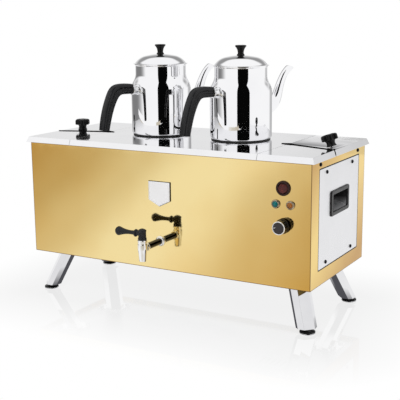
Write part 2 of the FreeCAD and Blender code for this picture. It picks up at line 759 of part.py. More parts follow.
def tap_collar():
    """Chrome flange against the front sheet."""
    bore = SHANK_R + RUNNING
    ring = [(bore, 0), (COLLAR_R, 0), (COLLAR_R, 3), (COLLAR_R - 2.5, COLLAR_T), (bore, COLLAR_T)]
    return turned(ring, Vector(0, FRONT, TAP_Z), -Y_AXIS)


def tap_shank():
    """Pipe from the tank to the tap."""
    reach = TAP_AXIS_OUT - 9
    inside = TANK_SIDE_GAP + SHEET + 12
    steps = [(SHANK_BORE_R, -inside), (SHANK_R, -inside), (SHANK_R, reach), (SHANK_BORE_R, reach)]
    return turned(steps, Vector(0, FRONT, TAP_Z), -Y_AXIS)


def hexagon(across, at, run):
    """Hexagonal bar, measured across its flats."""
    far = across / math.sqrt(3)
    side = run.cross(X_AXIS)
    if side.Length < 1e-6:
        side = Vector(0, 1, 0)
    side = side.normalize() * far
    points = []
    for i in range(7):
        turn = FreeCAD.Rotation(run, 60.0 * i)
        points.append(at + turn.multVec(side))
    return Part.Face(Part.makePolygon(points)).extrude(run)


def tap_lock_nut():
    """Nut that clamps the shank to the tank wall."""
    at = Vector(0, FRONT + TANK_SIDE_GAP + SHEET, TAP_Z)
    nut = hexagon(22.0, at, Y_AXIS * 7)
    return nut.cut(rod(SHANK_R + RUNNING, at - Y_AXIS, at + Y_AXIS * 9))


def tap_body():
    """Chrome tap: socket for the shank, valve bore from above and a tapered nozzle below."""
    axis = Vector(0, TAP_Y, TAP_Z)
    low = -NOZZLE_DROP
    barrel = turned([
        (0, low), (7, low), (7.2, low + 3), (8.6, -8), (9.65, -4.31, 10, -0.5), (10, 9), (9.4, 10.5),
        (9.4, 13), (TAP_TOP_R, 14.5), (TAP_TOP_R, 17), (9.5, 18), (0, 18),
    ], axis)
    socket = turned([(0, 0), (SHANK_R + 2, 0), (SHANK_R + 2, 15), (SHANK_R + 1, 16), (0, 16)], axis, Y_AXIS)
    bore = turned([
        (0, low - 1), (NOZZLE_R, low - 1), (NOZZLE_R, VALVE_FLOOR), (SPINDLE_R, VALVE_FLOOR),
        (SPINDLE_R, 19), (0, 19),
    ], axis)
    inlet = rod(SHANK_BORE_R, axis, axis + Y_AXIS * 20)
    seat = rod(SHANK_R + RUNNING, axis + Y_AXIS * 9, axis + Y_AXIS * 20)
    return barrel.fuse(socket).cut([bore, inlet, seat]).removeSplitter()


def tap_spindle():
    """Valve plug that closes the tap, with its port crosswise at rest."""
    axis = Vector(0, TAP_Y, TAP_Z)
    radius = SPINDLE_R - RUNNING
    plug = turned([(0, 1.5), (radius, 1.5), (radius, 17.0), (3, 18.0), (3, 27), (0, 27)], axis)
    port = rod(3.0, axis + Vector(-9, 0, 4.6), axis + Vector(9, 0, 4.6))
    return plug.cut(port)


def tap_lever():
    """Black cap that turns on the tap, with its flared handle."""
    axis = Vector(0, TAP_Y, TAP_Z)
    cap = turned([
        (0, 18.3), (9, 18.3), (9, 22), (8.2, 23), (8.2, 35), (8.8, 36), (8.8, 38),
        dome_step(8.8, 38, CAP_TOP),
    ], axis)
    flare = LEVER_LENGTH - 9
    handle = turned([
        (0, 0), (5, 0), (5, 12), (6.5, 13), (8, 15.5, 6.5, 18), (4.6, 19), (4, 24), (4.6, 38, 8, flare - 4),
        (9.5, flare), (9.5, flare + 2), dome_step(9.5, flare + 2, LEVER_LENGTH),
    ], axis + Z_AXIS * LEVER_Z, -X_AXIS)
    stem = rod(3.02, axis + Z_AXIS * 18, axis + Z_AXIS * 27.1)
    return cap.fuse(handle).cut(stem).removeSplitter()


def badge_plate():
    """Shield plate on the front, without lettering."""
    corners = [
        (-BADGE_HALF, BADGE_TOP), (BADGE_HALF, BADGE_TOP), (BADGE_HALF, BADGE_SHOULDER),
        (0, BADGE_TIP), (-BADGE_HALF, BADGE_SHOULDER),
    ]
    plate = slab([Vector(x, FRONT, z) for x, z in corners], 1.0, -Y_AXIS * BADGE_T)
    crown = [e for e in plate.Edges if e.BoundBox.YMax < FRONT - BADGE_T + 0.1]
    return plate.makeChamfer(0.5, crown)


def on_front(steps, x, z):
    """Turned piece on the front sheet: heights in the steps run forwards from the sheet's face."""
    return turned(steps, Vector(x, FRONT, z), -Y_AXIS)


def switch_housing():
    """Round rocker switch: bezel with its well in front, body and terminals behind the sheet."""
    body = on_front([
        (0, -24), (SWITCH_BODY_R, -24), (SWITCH_BODY_R, 0), (SWITCH_R, 0), (SWITCH_R, 3),
        (SWITCH_R - 1.6, SWITCH_T), (WELL_R + 1, SWITCH_T), (WELL_R, SWITCH_T - 1), (WELL_R, -8), (0, -8),
    ], CONTROL_X, SWITCH_Z)
    spades = []
    for x in (-5, 5):
        low = (CONTROL_X + x - 3.1, FRONT + 23.5, SWITCH_Z - 0.4)
        spades.append(box(low, (low[0] + 6.2, low[1] + 9, SWITCH_Z + 0.4)))
    pivot = Vector(CONTROL_X, FRONT - PIVOT_OUT, SWITCH_Z)
    sockets = rod(PIVOT_R + RUNNING, pivot - X_AXIS * 13, pivot + X_AXIS * 13)
    return body.fuse(spades).cut(sockets)


def switch_rocker():
    """Round rocker paddle on its two pivot pins, resting tilted to its off side."""
    pivot = Vector(CONTROL_X, FRONT - PIVOT_OUT, SWITCH_Z)
    face = SWITCH_T - 0.4
    paddle = on_front([(0, -1), (PADDLE_R, -1), (PADDLE_R, face), (0, face)], CONTROL_X, SWITCH_Z)
    dish_r = 30.0
    centre = pivot - Y_AXIS * (face - PIVOT_OUT - 1.4 + dish_r)
    paddle = paddle.cut(rod(dish_r, centre - X_AXIS * 2 * PADDLE_R, centre + X_AXIS * 2 * PADDLE_R))
    rocker = paddle.fuse(rod(PIVOT_R, pivot - X_AXIS * 12.8, pivot + X_AXIS * 12.8))
    rocker.rotate(pivot, X_AXIS, -ROCKER_TILT)
    return rocker


def lamp_bezel(x):
    """Chromed lamp body with its thread and nut behind the sheet."""
    ring = on_front([
        (0, -22), (5, -22), (5, 0), (LAMP_R, 0), (LAMP_R, 3), (LAMP_R - 1.2, 4.4),
        (6.2, 4.6), (5.8, 1.5), (0, 1.5),
    ], x, LAMP_Z)
    at = Vector(x, FRONT + SHEET, LAMP_Z)
    return ring.fuse(hexagon(14.0, at, Y_AXIS * 4))


def lamp_lens(x):
    """Domed lens of a lamp."""
    return on_front([(0, 1.5), (5.7, 1.5), (5.7, 5), dome_step(5.7, 5, 7.2)], x, LAMP_Z)


def thermostat_body():
    """Thermostat behind the front sheet, with the bush that its shaft turns in."""
    can = on_front([(0, -30), (17, -30), (19, -28), (19, -6), (17.5, -4.5), (0, -4.5)], CONTROL_X, DIAL_Z)
    bush = on_front([(0, -5), (4.8, -5), (4.8, 3), (0, 3)], CONTROL_X, DIAL_Z)
    bore = on_front([(0, -16), (3.05, -16), (3.05, 4), (0, 4)], CONTROL_X, DIAL_Z)
    nut = hexagon(15.0, Vector(CONTROL_X, FRONT + SHEET, DIAL_Z), Y_AXIS * 3)
    return can.fuse([bush, nut]).cut(bore)


def thermostat_knob():
    """Hand dial with a fluted skirt, on its shaft."""
    knob = on_front([
        (0, 4), (4, 4), (4, 3.5), (DIAL_R, 3.5), (DIAL_R, 6), (DIAL_R - 1, 8), (DIAL_R - 1.6, DIAL_OUT - 1.5),
        (DIAL_R - 3, DIAL_OUT), (0, DIAL_OUT),
    ], CONTROL_X, DIAL_Z)
    flutes = []
    for i in range(12):
        turn = math.radians(30.0 * i + 15.0)
        x = CONTROL_X + (DIAL_R + 0.6) * math.cos(turn)
        z = DIAL_Z + (DIAL_R + 0.6) * math.sin(turn)
        flutes.append(rod(2.0, Vector(x, FRONT - 9.5, z), Vector(x, FRONT - DIAL_OUT + 3, z)))
    pocket = on_front([(0, 3), (6.5, 3), (6.5, 5), (0, 5)], CONTROL_X, DIAL_Z)
    shaft = on_front([(0, -15), (3, -15), (3, 8), (0, 8)], CONTROL_X, DIAL_Z)
    return knob.cut(flutes + [pocket]).fuse(shaft)


def thermostat_probe():
    """Pocket for the sensing bulb, screwed through the tank wall."""
    hexed = hexagon(17.0, PROBE_AT, X_AXIS * 8)
    tube = turned([(0, -90), (PROBE_R - 1.5, -90), (PROBE_R, -88), (PROBE_R, 0), (0, 0)], PROBE_AT, X_AXIS)
    bore = rod(2.6, PROBE_AT - X_AXIS * 84, PROBE_AT + X_AXIS * 9)
    return tube.fuse(hexed).cut(bore)


def heater_plug():
    """Brass plug that carries the heating elements, with its clearance holes for their ends."""
    hexed = hexagon(52.0, HEATER_AT + X_AXIS * 2, X_AXIS * 12)
    thread = rod(HEATER_THREAD_R, HEATER_AT - X_AXIS * 14, HEATER_AT + X_AXIS * 2)
    holes = [rod(4.3, at - X_AXIS * 16, at + X_AXIS * 16) for at in heater_leg_points()]
    return hexed.fuse(thread).cut(holes)


def heater_leg_points():
    """Where the six element ends pass through the plug."""
    points = []
    for i in range(6):
        turn = math.radians(60.0 * i + 30.0)
        points.append(HEATER_AT + Vector(0, 12.0 * math.cos(turn), 12.0 * math.sin(turn)))
    return points


def heating_elements():
    """Three hairpin elements inside the tank."""
    pins = []
    ends = heater_leg_points()
    for first, last in ((0, 5), (1, 4), (2, 3)):
        a = ends[first] + X_AXIS * 24
        d = ends[last] + X_AXIS * 24
        bend = (a - d).Length / 2
        reach = X_AXIS * -(HEATER_REACH + 24 - bend)
        b = a + reach
        c = d + reach
        middle = (b + c) / 2 - X_AXIS * bend
        path = Part.Wire([Part.LineSegment(a, b).toShape(), Part.Arc(b, middle, c).toShape(),
                          Part.LineSegment(c, d).toShape()])
        ring = Part.Wire(Part.Circle(a, X_AXIS, 4.0).toShape())
        pins.append(path.makePipeShell([ring], True, False))
    return pins


def heater_gasket():
    """Flat gasket between the plug and the tank wall."""
    bore = HEATER_THREAD_R + 0.3
    rim = HEATER_THREAD_R + 5
    return turned([(bore, 0), (rim, 0), (rim, 2), (bore, 2)], HEATER_AT, X_AXIS)


def limit_thermostat():
    """Disc cut-out on the tank's step, facing the bay."""
    at = Vector(BAY_X + 40, FRONT + BAY_DEPTH, CASE_Z + 150)
    disc = turned([(0, 0), (12, 0), (12, 1), (8, 1), (8, 8), (0, 8)], at, -Y_AXIS)
    spade = box((at.x - 7.5, at.y - 15, at.z - 0.4), (at.x - 3, at.y - 7.5, at.z + 0.4))
    twin = box((at.x + 3, at.y - 15, at.z - 0.4), (at.x + 7.5, at.y - 7.5, at.z + 0.4))
    return disc.fuse([spade, twin])


def terminal_block():
    """Mains terminals on the floor of the bay."""
    low = Vector(BAY_X + 62, FRONT + 22, CASE_Z + TRAY_LIFT + SHEET)
    block = box(low, low + Vector(26, 66, 8))
    ribs = []
    screws = []
    for i in range(6):
        at = low + Y_AXIS * 10.5 * i
        ribs.append(box(at + Vector(5, 3, 7), at + Vector(21, 11, 20)))
        screws.append(rod(2.2, at + Vector(13, 7, 12), at + Vector(13, 7, 22)))
    return block.fuse(ribs).cut(screws)


def cable_gland():
    """Cable gland in the back sheet: hexagon, clamping dome, thread and lock nut."""
    at = Vector(GLAND_X, BACK, GLAND_Z)
    flange = hexagon(22.0, at, Y_AXIS * 6)
    dome = turned([
        (0, 6), (9.5, 6), (10.5, 7), (10.5, 17), (9.6, 23, 6.5, GLAND_OUT), (0, GLAND_OUT),
    ], at, Y_AXIS)
    thread = rod(GLAND_THREAD_R, at - Y_AXIS * 13, at)
    nut = hexagon(22.0, at - Y_AXIS * (SHEET + 5), Y_AXIS * 5)
    bore = rod(GLAND_BORE_R, at - Y_AXIS * 14, at + Y_AXIS * (GLAND_OUT + 1))
    return flange.fuse([dome, thread, nut]).cut(bore).removeSplitter()


def leg_ends():
    """Name, head point and foot point of each leg's centre line."""
    rows = []
    for depth, edge, into in (("front", FRONT, 1), ("back", BACK, -1)):
        for side, sign in SIDES.items():
            head = Vector(sign * (SIDE - LEG_TOP_IN.x), edge + into * LEG_TOP_IN.y, CASE_Z)
            foot = Vector(sign * (SIDE - LEG_FOOT_IN.x), edge + into * LEG_FOOT_IN.y, 0)
            rows.append((depth + "_" + side, head, foot))
    return rows


def leg_section(at, outward, scale):
    """Eight-sided wire, wide across the splay and flatter along it."""
    along = outward * (LEG_THICK / 2 * scale)
    across = outward.cross(Z_AXIS) * (LEG_WIDE / 2 * scale)
    quarter = ((1.0, 0.32), (0.55, 1.0))
    shape = list(quarter)
    shape += [(-a, b) for a, b in reversed(quarter)]
    shape += [(-a, -b) for a, b in shape]
    points = [at + across * a + along * b for a, b in shape]
    return Part.makePolygon(points + points[:1])


def leg(head, foot):
    """Facetted chrome leg with its bolting flange and the threaded hole for the foot."""
    high = CASE_Z + TRAY_LIFT - LEG_FLANGE_T
    run = head - foot
    outward = Vector(-run.x, -run.y, 0).normalize()
    top = foot + run * (high / CASE_Z)
    low = foot + run * (FOOT_H / CASE_Z)
    shaft = loft([leg_section(low, outward, LEG_TAPER), leg_section(top, outward, 1.0)], True)
    half = LEG_FLANGE / 2
    middle = leg_plate_middle(head)
    turns = ((-1, -1), (1, -1), (1, 1), (-1, 1))
    plate = [Vector(middle.x + a * half, middle.y + b * half, high) for a, b in turns]
    flange = slab(plate, 6.0, Z_AXIS * LEG_FLANGE_T)
    bore = rod(STEM_R + RUNNING, foot + Z_AXIS * (FOOT_H - 1), foot + Z_AXIS * (STEM_TOP + 1))
    holes = [rod(3.3, at - Z_AXIS * 6, at + Z_AXIS * 6) for at in bolt_corners(middle)]
    return shaft.fuse(flange).cut([bore] + holes)


def leg_plate_middle(head):
    """Centre of a leg's flange, on the tray's underside."""
    return Vector(head.x, head.y, CASE_Z + TRAY_LIFT)


def bolt_corners(middle):
    """Four bolt places round a leg's flange centre."""
    step = LEG_BOLT_HALF
    return [middle + Vector(a * step, b * step, 0) for a in (-1, 1) for b in (-1, 1)]


def leg_bolt_points():
    """Every leg bolt's place on the tray's underside."""
    return [at for _, head, _ in leg_ends() for at in bolt_corners(leg_plate_middle(head))]


def leg_bolts():
    """Bolts that hold the leg flanges to the tray."""
    bolts = []
    for at in leg_bolt_points():
        head_at = at - Z_AXIS * LEG_FLANGE_T
        shank = rod(3.0, head_at, at + Z_AXIS * (SHEET + 6))
        cap = hexagon(10.0, head_at - Z_AXIS * 3, Z_AXIS * 3)
        nut = hexagon(10.0, at + Z_AXIS * SHEET, Z_AXIS * 5)
        bolts.append(shank.fuse([cap, nut]).removeSplitter())
    return bolts


def foot(at):
    """Levelling foot with its threaded stem."""
    steps = [
        (0, 0), (FOOT_R - 1, 0), (FOOT_R, 1), (FOOT_R, 4), (FOOT_R - 1.5, 5), (11, 5.5), (8, FOOT_H - 0.4),
        (STEM_R, FOOT_H - 0.4), (STEM_R, STEM_TOP), (0, STEM_TOP),
    ]
    return turned(steps, at)


def build():
    """Every node of the urn, by name."""
    nodes = {
        "base_tray": base_tray(),
        "front_panel": front_panel(),
        "back_panel": back_panel(),
        "side_screws": side_screws(),
        "badge_plate": badge_plate(),
        "tank": tank(),
        "top_plate": top_plate(),
        "lid_nuts": lid_nuts(),
        "pot_seals": pot_seals(),
        "heater_plug": heater_plug(),
        "heater_gasket": heater_gasket(),
        "heating_elements": heating_elements(),
        "thermostat_body": thermostat_body(),
        "thermostat_probe": thermostat_probe(),
        "thermostat_knob": thermostat_knob(),
        "limit_thermostat": limit_thermostat(),
        "terminal_block": terminal_block(),
        "cable_gland": cable_gland(),
        "switch_housing": switch_housing(),
        "switch_rocker": switch_rocker(),
        "green_lamp_bezel": lamp_bezel(CONTROL_X - LAMP_STEP),
        "green_lamp_lens": lamp_lens(CONTROL_X - LAMP_STEP),
        "amber_lamp_bezel": lamp_bezel(CONTROL_X + LAMP_STEP),
        "amber_lamp_lens": lamp_lens(CONTROL_X + LAMP_STEP),
        "tap_shank": tap_shank(),
        "tap_collar": tap_collar(),
        "tap_lock_nut": tap_lock_nut(),
        "tap_body": tap_body(),
        "tap_spindle": tap_spindle(),
        "tap_lever": tap_lever(),
        "leg_bolts": leg_bolts(),
    }
    for side, sign in SIDES.items():
        nodes[side + "_panel"] = side_panel(sign)
        nodes["service_panel_" + side] = service_panel(sign)
        nodes["carry_handle_" + side] = carry_handle(sign)
        nodes["corner_plate_" + side] = corner_plate(sign)
        nodes["fill_lid_" + side] = fill_lid(sign)
        nodes["star_knob_" + side] = star_knob(sign)
        nodes["pot_body_" + side] = pot_body(sign)
        nodes["pot_grip_" + side] = pot_grip(sign)
        nodes["pot_lid_" + side] = pot_lid(sign)
        nodes["pot_lid_knob_" + side] = pot_lid_knob(sign)
    for name, head, foot_at in leg_ends():
        nodes["leg_" + name] = leg(head, foot_at)
        nodes["foot_" + name] = foot(foot_at)
    return nodes


def export(nodes):
    """Write each node as its own STEP file and print what it holds."""
    os.makedirs("parts", exist_ok=True)
    for name, shape in sorted(nodes.items()):
        if isinstance(shape, list):
            shape = Part.makeCompound(shape)
        shape.exportStep("parts/" + name + ".step")
        state = "ok" if shape.isValid() else "INVALID"
        print(name, state, len(shape.Solids), round(shape.Volume / 1000.0, 2))


export(build())
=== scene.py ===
import json
import logging
import math
from dataclasses import dataclass
from enum import Enum
from typing import Callable, Sequence

import bmesh
import bpy
from mathutils import Matrix, Vector

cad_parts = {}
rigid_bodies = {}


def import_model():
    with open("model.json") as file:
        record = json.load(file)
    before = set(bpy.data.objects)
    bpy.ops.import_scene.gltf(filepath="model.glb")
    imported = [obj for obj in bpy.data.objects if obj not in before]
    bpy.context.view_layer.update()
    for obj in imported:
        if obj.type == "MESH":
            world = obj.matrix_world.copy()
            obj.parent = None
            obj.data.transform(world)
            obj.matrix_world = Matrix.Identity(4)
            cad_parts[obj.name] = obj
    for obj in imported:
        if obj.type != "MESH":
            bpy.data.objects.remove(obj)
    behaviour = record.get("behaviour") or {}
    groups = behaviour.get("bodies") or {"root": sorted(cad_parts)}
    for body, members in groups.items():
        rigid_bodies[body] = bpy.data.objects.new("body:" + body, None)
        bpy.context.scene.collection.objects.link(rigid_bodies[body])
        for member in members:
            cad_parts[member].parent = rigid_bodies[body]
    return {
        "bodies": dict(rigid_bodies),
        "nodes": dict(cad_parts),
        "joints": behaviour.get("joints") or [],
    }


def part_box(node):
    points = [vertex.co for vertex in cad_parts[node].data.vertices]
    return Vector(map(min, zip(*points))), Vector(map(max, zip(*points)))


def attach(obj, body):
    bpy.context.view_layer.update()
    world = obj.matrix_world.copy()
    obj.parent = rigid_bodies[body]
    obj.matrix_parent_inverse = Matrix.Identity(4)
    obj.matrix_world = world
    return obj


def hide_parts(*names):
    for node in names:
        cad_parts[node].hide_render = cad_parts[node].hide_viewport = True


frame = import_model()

LOG = logging.getLogger("tea_urn")

# Modelling is done in millimetres and scaled once, when a piece is made
MM = 0.001
TURN = math.tau
X_AXIS = Vector((1, 0, 0))
Y_AXIS = Vector((0, 1, 0))
Z_AXIS = Vector((0, 0, 1))
FORWARD = -Y_AXIS
WELD = 1e-4
SIDES = {"left": -1, "right": 1}
LEGS = ("front_left", "front_right", "back_left", "back_right")
WHITE = (1.0, 1.0, 1.0, 1.0)

Colour = tuple[float, float, float]
Steps = Sequence[tuple[float, ...]]
Form = bmesh.types.BMesh
Socket = bpy.types.NodeSocket


def clear_start_objects() -> None:
    """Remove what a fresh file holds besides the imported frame."""
    kept = {o.name for o in (*frame["bodies"].values(), *frame["nodes"].values())}
    for thing in list(bpy.data.objects):
        if thing.name not in kept:
            bpy.data.objects.remove(thing)


clear_start_objects()
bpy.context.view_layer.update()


def both(*stems: str) -> tuple[str, ...]:
    """Names of pieces that stand left and right."""
    return tuple(f"{stem}_{side}" for stem in stems for side in SIDES)


def grey(level: float) -> Colour:
    """Even grey."""
    return (level, level, level)


class Slot(str, Enum):
    """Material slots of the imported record."""

    GILT = "gilt_steel"
    POLISHED = "polished_steel"
    PANEL = "panel_steel"
    INNER = "inner_steel"
    CHROME = "chrome_plate"
    BADGE = "badge_metal"
    PLASTIC = "black_plastic"
    SCREW = "black_screw"
    ROCKER = "red_rocker"
    GREEN = "green_lens"
    AMBER = "amber_lens"
    BRASS = "brass"
    SILICONE = "silicone"
    SHEATH = "element_sheath"
    TERMINAL = "terminal_plastic"


class Graph:
    """Node graph of one material or of the world."""

    def __init__(self, owner: bpy.types.Material | bpy.types.World, space: str = "Object") -> None:
        """Start from the nodes that a new owner comes with.

        Args:
            owner: What the nodes belong to.
            space: Coordinates that its patterns follow.
        """
        owner.use_nodes = True
        self.tree = owner.node_tree
        self.shader = self.tree.nodes.get("Principled BSDF")
        self.place = self.node("ShaderNodeTexCoord").outputs[space]

    def node(self, kind: str, **settings: object) -> bpy.types.Node:
        """Add a node and set its own properties."""
        made = self.tree.nodes.new(kind)
        for name, value in settings.items():
            setattr(made, name, value)
        return made

    def put(self, socket: Socket, value: object) -> None:
        """Link an output to a socket, or set the socket's own value."""
        if isinstance(value, Socket):
            self.tree.links.new(value, socket)
        else:
            socket.default_value = value

    def fed(self, node: bpy.types.Node, *values: object) -> bpy.types.Node:
        """Link or set a node's first inputs in their order."""
        for socket, value in zip(node.inputs, values):
            self.put(socket, value)
        return node

    def noise(self, scale: float, detail: float = 2.0, stretch: Colour = (1, 1, 1)) -> Socket:
        """Smooth noise from 0 to 1.

        Args:
            scale: Waves per metre.
            detail: Octaves of finer noise on top.
            stretch: Scale along each axis, for grain that runs one way.

        Returns:
            The noise value's socket.
        """
        mapping = self.node("ShaderNodeMapping")
        self.put(mapping.inputs["Vector"], self.place)
        mapping.inputs["Scale"].default_value = stretch
        texture = self.node("ShaderNodeTexNoise")
        self.put(texture.inputs["Vector"], mapping.outputs["Vector"])
        texture.inputs["Scale"].default_value = scale
        texture.inputs["Detail"].default_value = detail
        return texture.outputs["Fac"]

    def span(self, value: Socket, low: float, high: float, start: float = 0.3, end: float = 0.7,
             kind: str = "LINEAR") -> Socket:
        """Map a value's useful range from start to end onto low to high."""
        mapped = self.node("ShaderNodeMapRange", interpolation_type=kind)
        return self.fed(mapped, value, start, end, low, high).outputs["Result"]

    def blend(self, share: Socket, first: object, second: object) -> Socket:
        """Mix two colours, or sockets that carry one, by a share from 0 to 1."""
        mix = self.node("ShaderNodeMix", data_type="RGBA")
        self.put(mix.inputs["Factor"], share)
        for socket, colour in ((mix.inputs["A"], first), (mix.inputs["B"], second)):
            self.put(socket, colour if isinstance(colour, Socket) else (*colour, 1))
        return mix.outputs["Result"]

    def combine(self, kind: str, first: object, second: object = 0.0) -> Socket:
        """Math node of two values."""
        return self.fed(self.node("ShaderNodeMath", operation=kind), first, second).outputs[0]

    def vector(self, kind: str, first: Socket, second: Colour = (0, 0, 0)) -> Socket:
        """Vector math with a constant: a number for DOT_PRODUCT and LENGTH, a vector for the rest."""
        step = self.fed(self.node("ShaderNodeVectorMath", operation=kind), first, second)
        return step.outputs["Value" if kind in ("DOT_PRODUCT", "LENGTH") else "Vector"]

    def axis(self, letter: str) -> Socket:
        """One of the place's three coordinates."""
        return self.fed(self.node("ShaderNodeSeparateXYZ"), self.place).outputs[letter]

    def ramp(self, value: Socket, stops: Sequence[tuple[float, Colour]], kind: str = "LINEAR") -> Socket:
        """Colour of a value by the stops of a ramp."""
        node = self.fed(self.node("ShaderNodeValToRGB"), value)
        elements = node.color_ramp.elements
        while len(elements) < len(stops):
            elements.new(0.5)
        for element, (at, colour) in zip(elements, stops):
            element.position = at
            element.color = (*colour, 1)
        node.color_ramp.interpolation = kind
        return node.outputs["Color"]

    def glow(self, colour: object, strength: object = 1.0, kind: str = "ShaderNodeEmission") -> Socket:
        """Plain light of one colour."""
        return self.fed(self.node(kind), colour, strength).outputs[0]

    def mixed(self, share: object, first: Socket, second: Socket) -> Socket:
        """Mix of two shaders."""
        return self.fed(self.node("ShaderNodeMixShader"), share, first, second).outputs[0]

    def show(self, shader: Socket) -> None:
        """Link a shader to the owner's surface."""
        output = next(node for node in self.tree.nodes if node.bl_idname.startswith("ShaderNodeOutput"))
        self.put(output.inputs["Surface"], shader)

    def relief(self, height: Socket, depth: float) -> None:
        """Raise the surface by a height map, in metres; a second relief sits on the first."""
        bump = self.node("ShaderNodeBump")
        bump.inputs["Distance"].default_value = depth
        bump.inputs["Strength"].default_value = 1.0
        self.put(bump.inputs["Height"], height)
        target = self.shader.inputs["Normal"]
        if target.is_linked:
            self.put(bump.inputs["Normal"], target.links[0].from_socket)
        self.put(target, bump.outputs["Normal"])

    def set(self, **values: object) -> None:
        """Set or link sockets of the shader, with underscores for spaces in their names."""
        for name, value in values.items():
            self.put(self.shader.inputs[name.replace("_", " ")], value)


@dataclass(frozen=True)
class Finish:
    """A surface finish, made into one material when a piece first wears it."""

    name: str

    def material(self) -> bpy.types.Material:
        """The finish's material, made once."""
        name = "finish_" + self.name
        made = bpy.data.materials.get(name)
        if made is None:
            made = bpy.data.materials.new(name)
            self.paint(Graph(made))
        return made

    def paint(self, graph: Graph) -> None:
        """Build the finish's nodes."""
        raise NotImplementedError


@dataclass(frozen=True)
class PolishedMetal(Finish):
    """Polished metal with faint haze, hairline scratches and a sheet's slow waves."""

    colour: Colour
    tarnish_and_shade: Colour
    roughness: float = 0.05
    haze: float = 0.03
    wave: float = 0.0
    wave_scale: float = 5.0

    def paint(self, graph: Graph) -> None:
        """Build the nodes: colour drift, smudged roughness, scratches and waves."""
        drift = graph.span(graph.noise(14.0, 3.0), 0.0, 1.0)
        smudge = graph.noise(38.0, 5.0)
        scratch = graph.noise(900.0, 1.0, (1.0, 0.02, 0.6))
        rough = graph.span(smudge, self.roughness, self.roughness + self.haze, 0.42, 0.75)
        lines = graph.span(scratch, 0.0, self.haze * 0.7, 0.62, 0.74)
        graph.set(
            Base_Color=graph.blend(drift, self.colour, self.tarnish_and_shade),
            Metallic=1.0,
            Roughness=graph.combine("ADD", rough, lines),
        )
        if self.wave:
            graph.relief(graph.noise(self.wave_scale, 1.0), self.wave)


@dataclass(frozen=True)
class SatinMetal(Finish):
    """Brushed or mill-finish metal, its grain running along one axis."""

    colour: Colour = (0.62, 0.63, 0.64)
    shade: Colour = (0.50, 0.51, 0.52)
    roughness: float = 0.34
    grain: Colour = (0.03, 1.0, 1.0)
    relief: float = 0.00001

    def paint(self, graph: Graph) -> None:
        """Build the nodes: stretched grain in colour, roughness and relief, over broad patches."""
        grain = graph.noise(1400.0, 3.0, self.grain)
        patches = graph.noise(16.0, 4.0)
        share = graph.combine("MULTIPLY", graph.span(grain, 0.2, 1.0), graph.span(patches, 0.5, 1.0))
        graph.set(
            Base_Color=graph.blend(share, self.shade, self.colour),
            Metallic=1.0,
            Roughness=graph.span(patches, self.roughness - 0.05, self.roughness + 0.08),
        )
        graph.relief(grain, self.relief)


@dataclass(frozen=True)
class MouldedPlastic(Finish):
    """Opaque moulding with a fine spark-eroded skin and handled, glossier places."""

    colour: Colour
    worn: Colour
    roughness: float = 0.24
    gloss: float = 0.3
    skin: float = 0.00004
    skin_scale: float = 1500.0

    def paint(self, graph: Graph) -> None:
        """Build the nodes: skin relief, colour drift and handled gloss."""
        handled = graph.noise(45.0, 3.0)
        graph.set(
            Base_Color=graph.blend(graph.span(handled, 0.0, 1.0), self.colour, self.worn),
            Roughness=graph.span(handled, self.roughness - 0.06, self.roughness + 0.08),
            Specular_IOR_Level=self.gloss,
        )
        graph.relief(graph.noise(self.skin_scale, 2.0), self.skin)


@dataclass(frozen=True)
class ClearPlastic(Finish):
    """Tinted moulding, its tint deeper where it is thick."""

    colour: Colour
    deep: Colour
    roughness: float = 0.12
    clear: float = 0.0
    coat: float = 0.1
    glow: float = 0.0

    def paint(self, graph: Graph) -> None:
        """Build the nodes: mottled tint under a glossy coat."""
        mottle = graph.span(graph.noise(420.0, 2.0), 0.0, 1.0)
        graph.set(
            Base_Color=graph.blend(mottle, self.deep, self.colour),
            Roughness=graph.span(graph.noise(160.0, 2.0), self.roughness, self.roughness + 0.08),
            Transmission_Weight=self.clear,
            Specular_IOR_Level=0.25,
            Coat_Weight=self.coat,
            Coat_Roughness=0.05,
        )
        if self.glow:
            graph.set(Emission_Color=(*self.colour, 1), Emission_Strength=self.glow)


@dataclass(frozen=True)
class GiltSheet(PolishedMetal):
    """Gold-toned mirror sheet with painted reflection in its tone, paler along a slanting band and deeper
    towards the ends, and painted shade along its edges.
    """

    colour: Colour = (0.885, 0.715, 0.350)
    tarnish_and_shade: Colour = (0.770, 0.465, 0.120)
    haze: float = 0.04
    wave: float = 0.00025
    # band and band_at place the pale streak of painted reflection
    band: Colour = (0.762, 0.0, -0.648)
    band_at: float = -0.144
    fade: tuple[float, float] = (0.04, 0.34)
    # edge is the colour of the painted shade at the end corners, the bottom edge and the top edge under the
    # deck
    edge: Colour = (0.220, 0.120, 0.040)
    end_edge: tuple[float, float] = (0.3386, 0.3394)
    low_edge: tuple[float, float] = (0.0958, 0.0966)
    top_edge: tuple[float, float] = (0.3434, 0.3442)
    # how strongly painted shade darkens the end corners
    end_shade: float = 1.0

    def paint(self, graph: Graph) -> None:
        """Build the nodes: polished metal whose painted-reflection tone follows the distance from the band,
        darkened by painted shade along the edges.
        """
        super().paint(graph)
        # painted reflection: paler near the band, deeper away from it, with a little random drift
        along = graph.vector("DOT_PRODUCT", graph.place, self.band)
        away = graph.combine("ABSOLUTE", graph.combine("SUBTRACT", along, self.band_at))
        share = graph.span(away, 0.0, 1.0, *self.fade)
        drift = graph.span(graph.noise(9.0, 2.0), -0.08, 0.08)
        tone = graph.blend(graph.combine("ADD", share, drift), self.colour, self.tarnish_and_shade)
        # painted shade: dark lines at the end corners, along the bottom and under the deck at the top
        far = graph.span(graph.combine("ABSOLUTE", graph.axis("X")), 0.0, self.end_shade, *self.end_edge)
        low = graph.span(graph.axis("Z"), 1.0, 0.0, *self.low_edge)
        top = graph.span(graph.axis("Z"), 0.0, 1.0, *self.top_edge)
        painted_edge_shade = graph.combine("MAXIMUM", far, graph.combine("MAXIMUM", top, low))
        graph.set(Base_Color=graph.blend(painted_edge_shade, tone, self.edge))


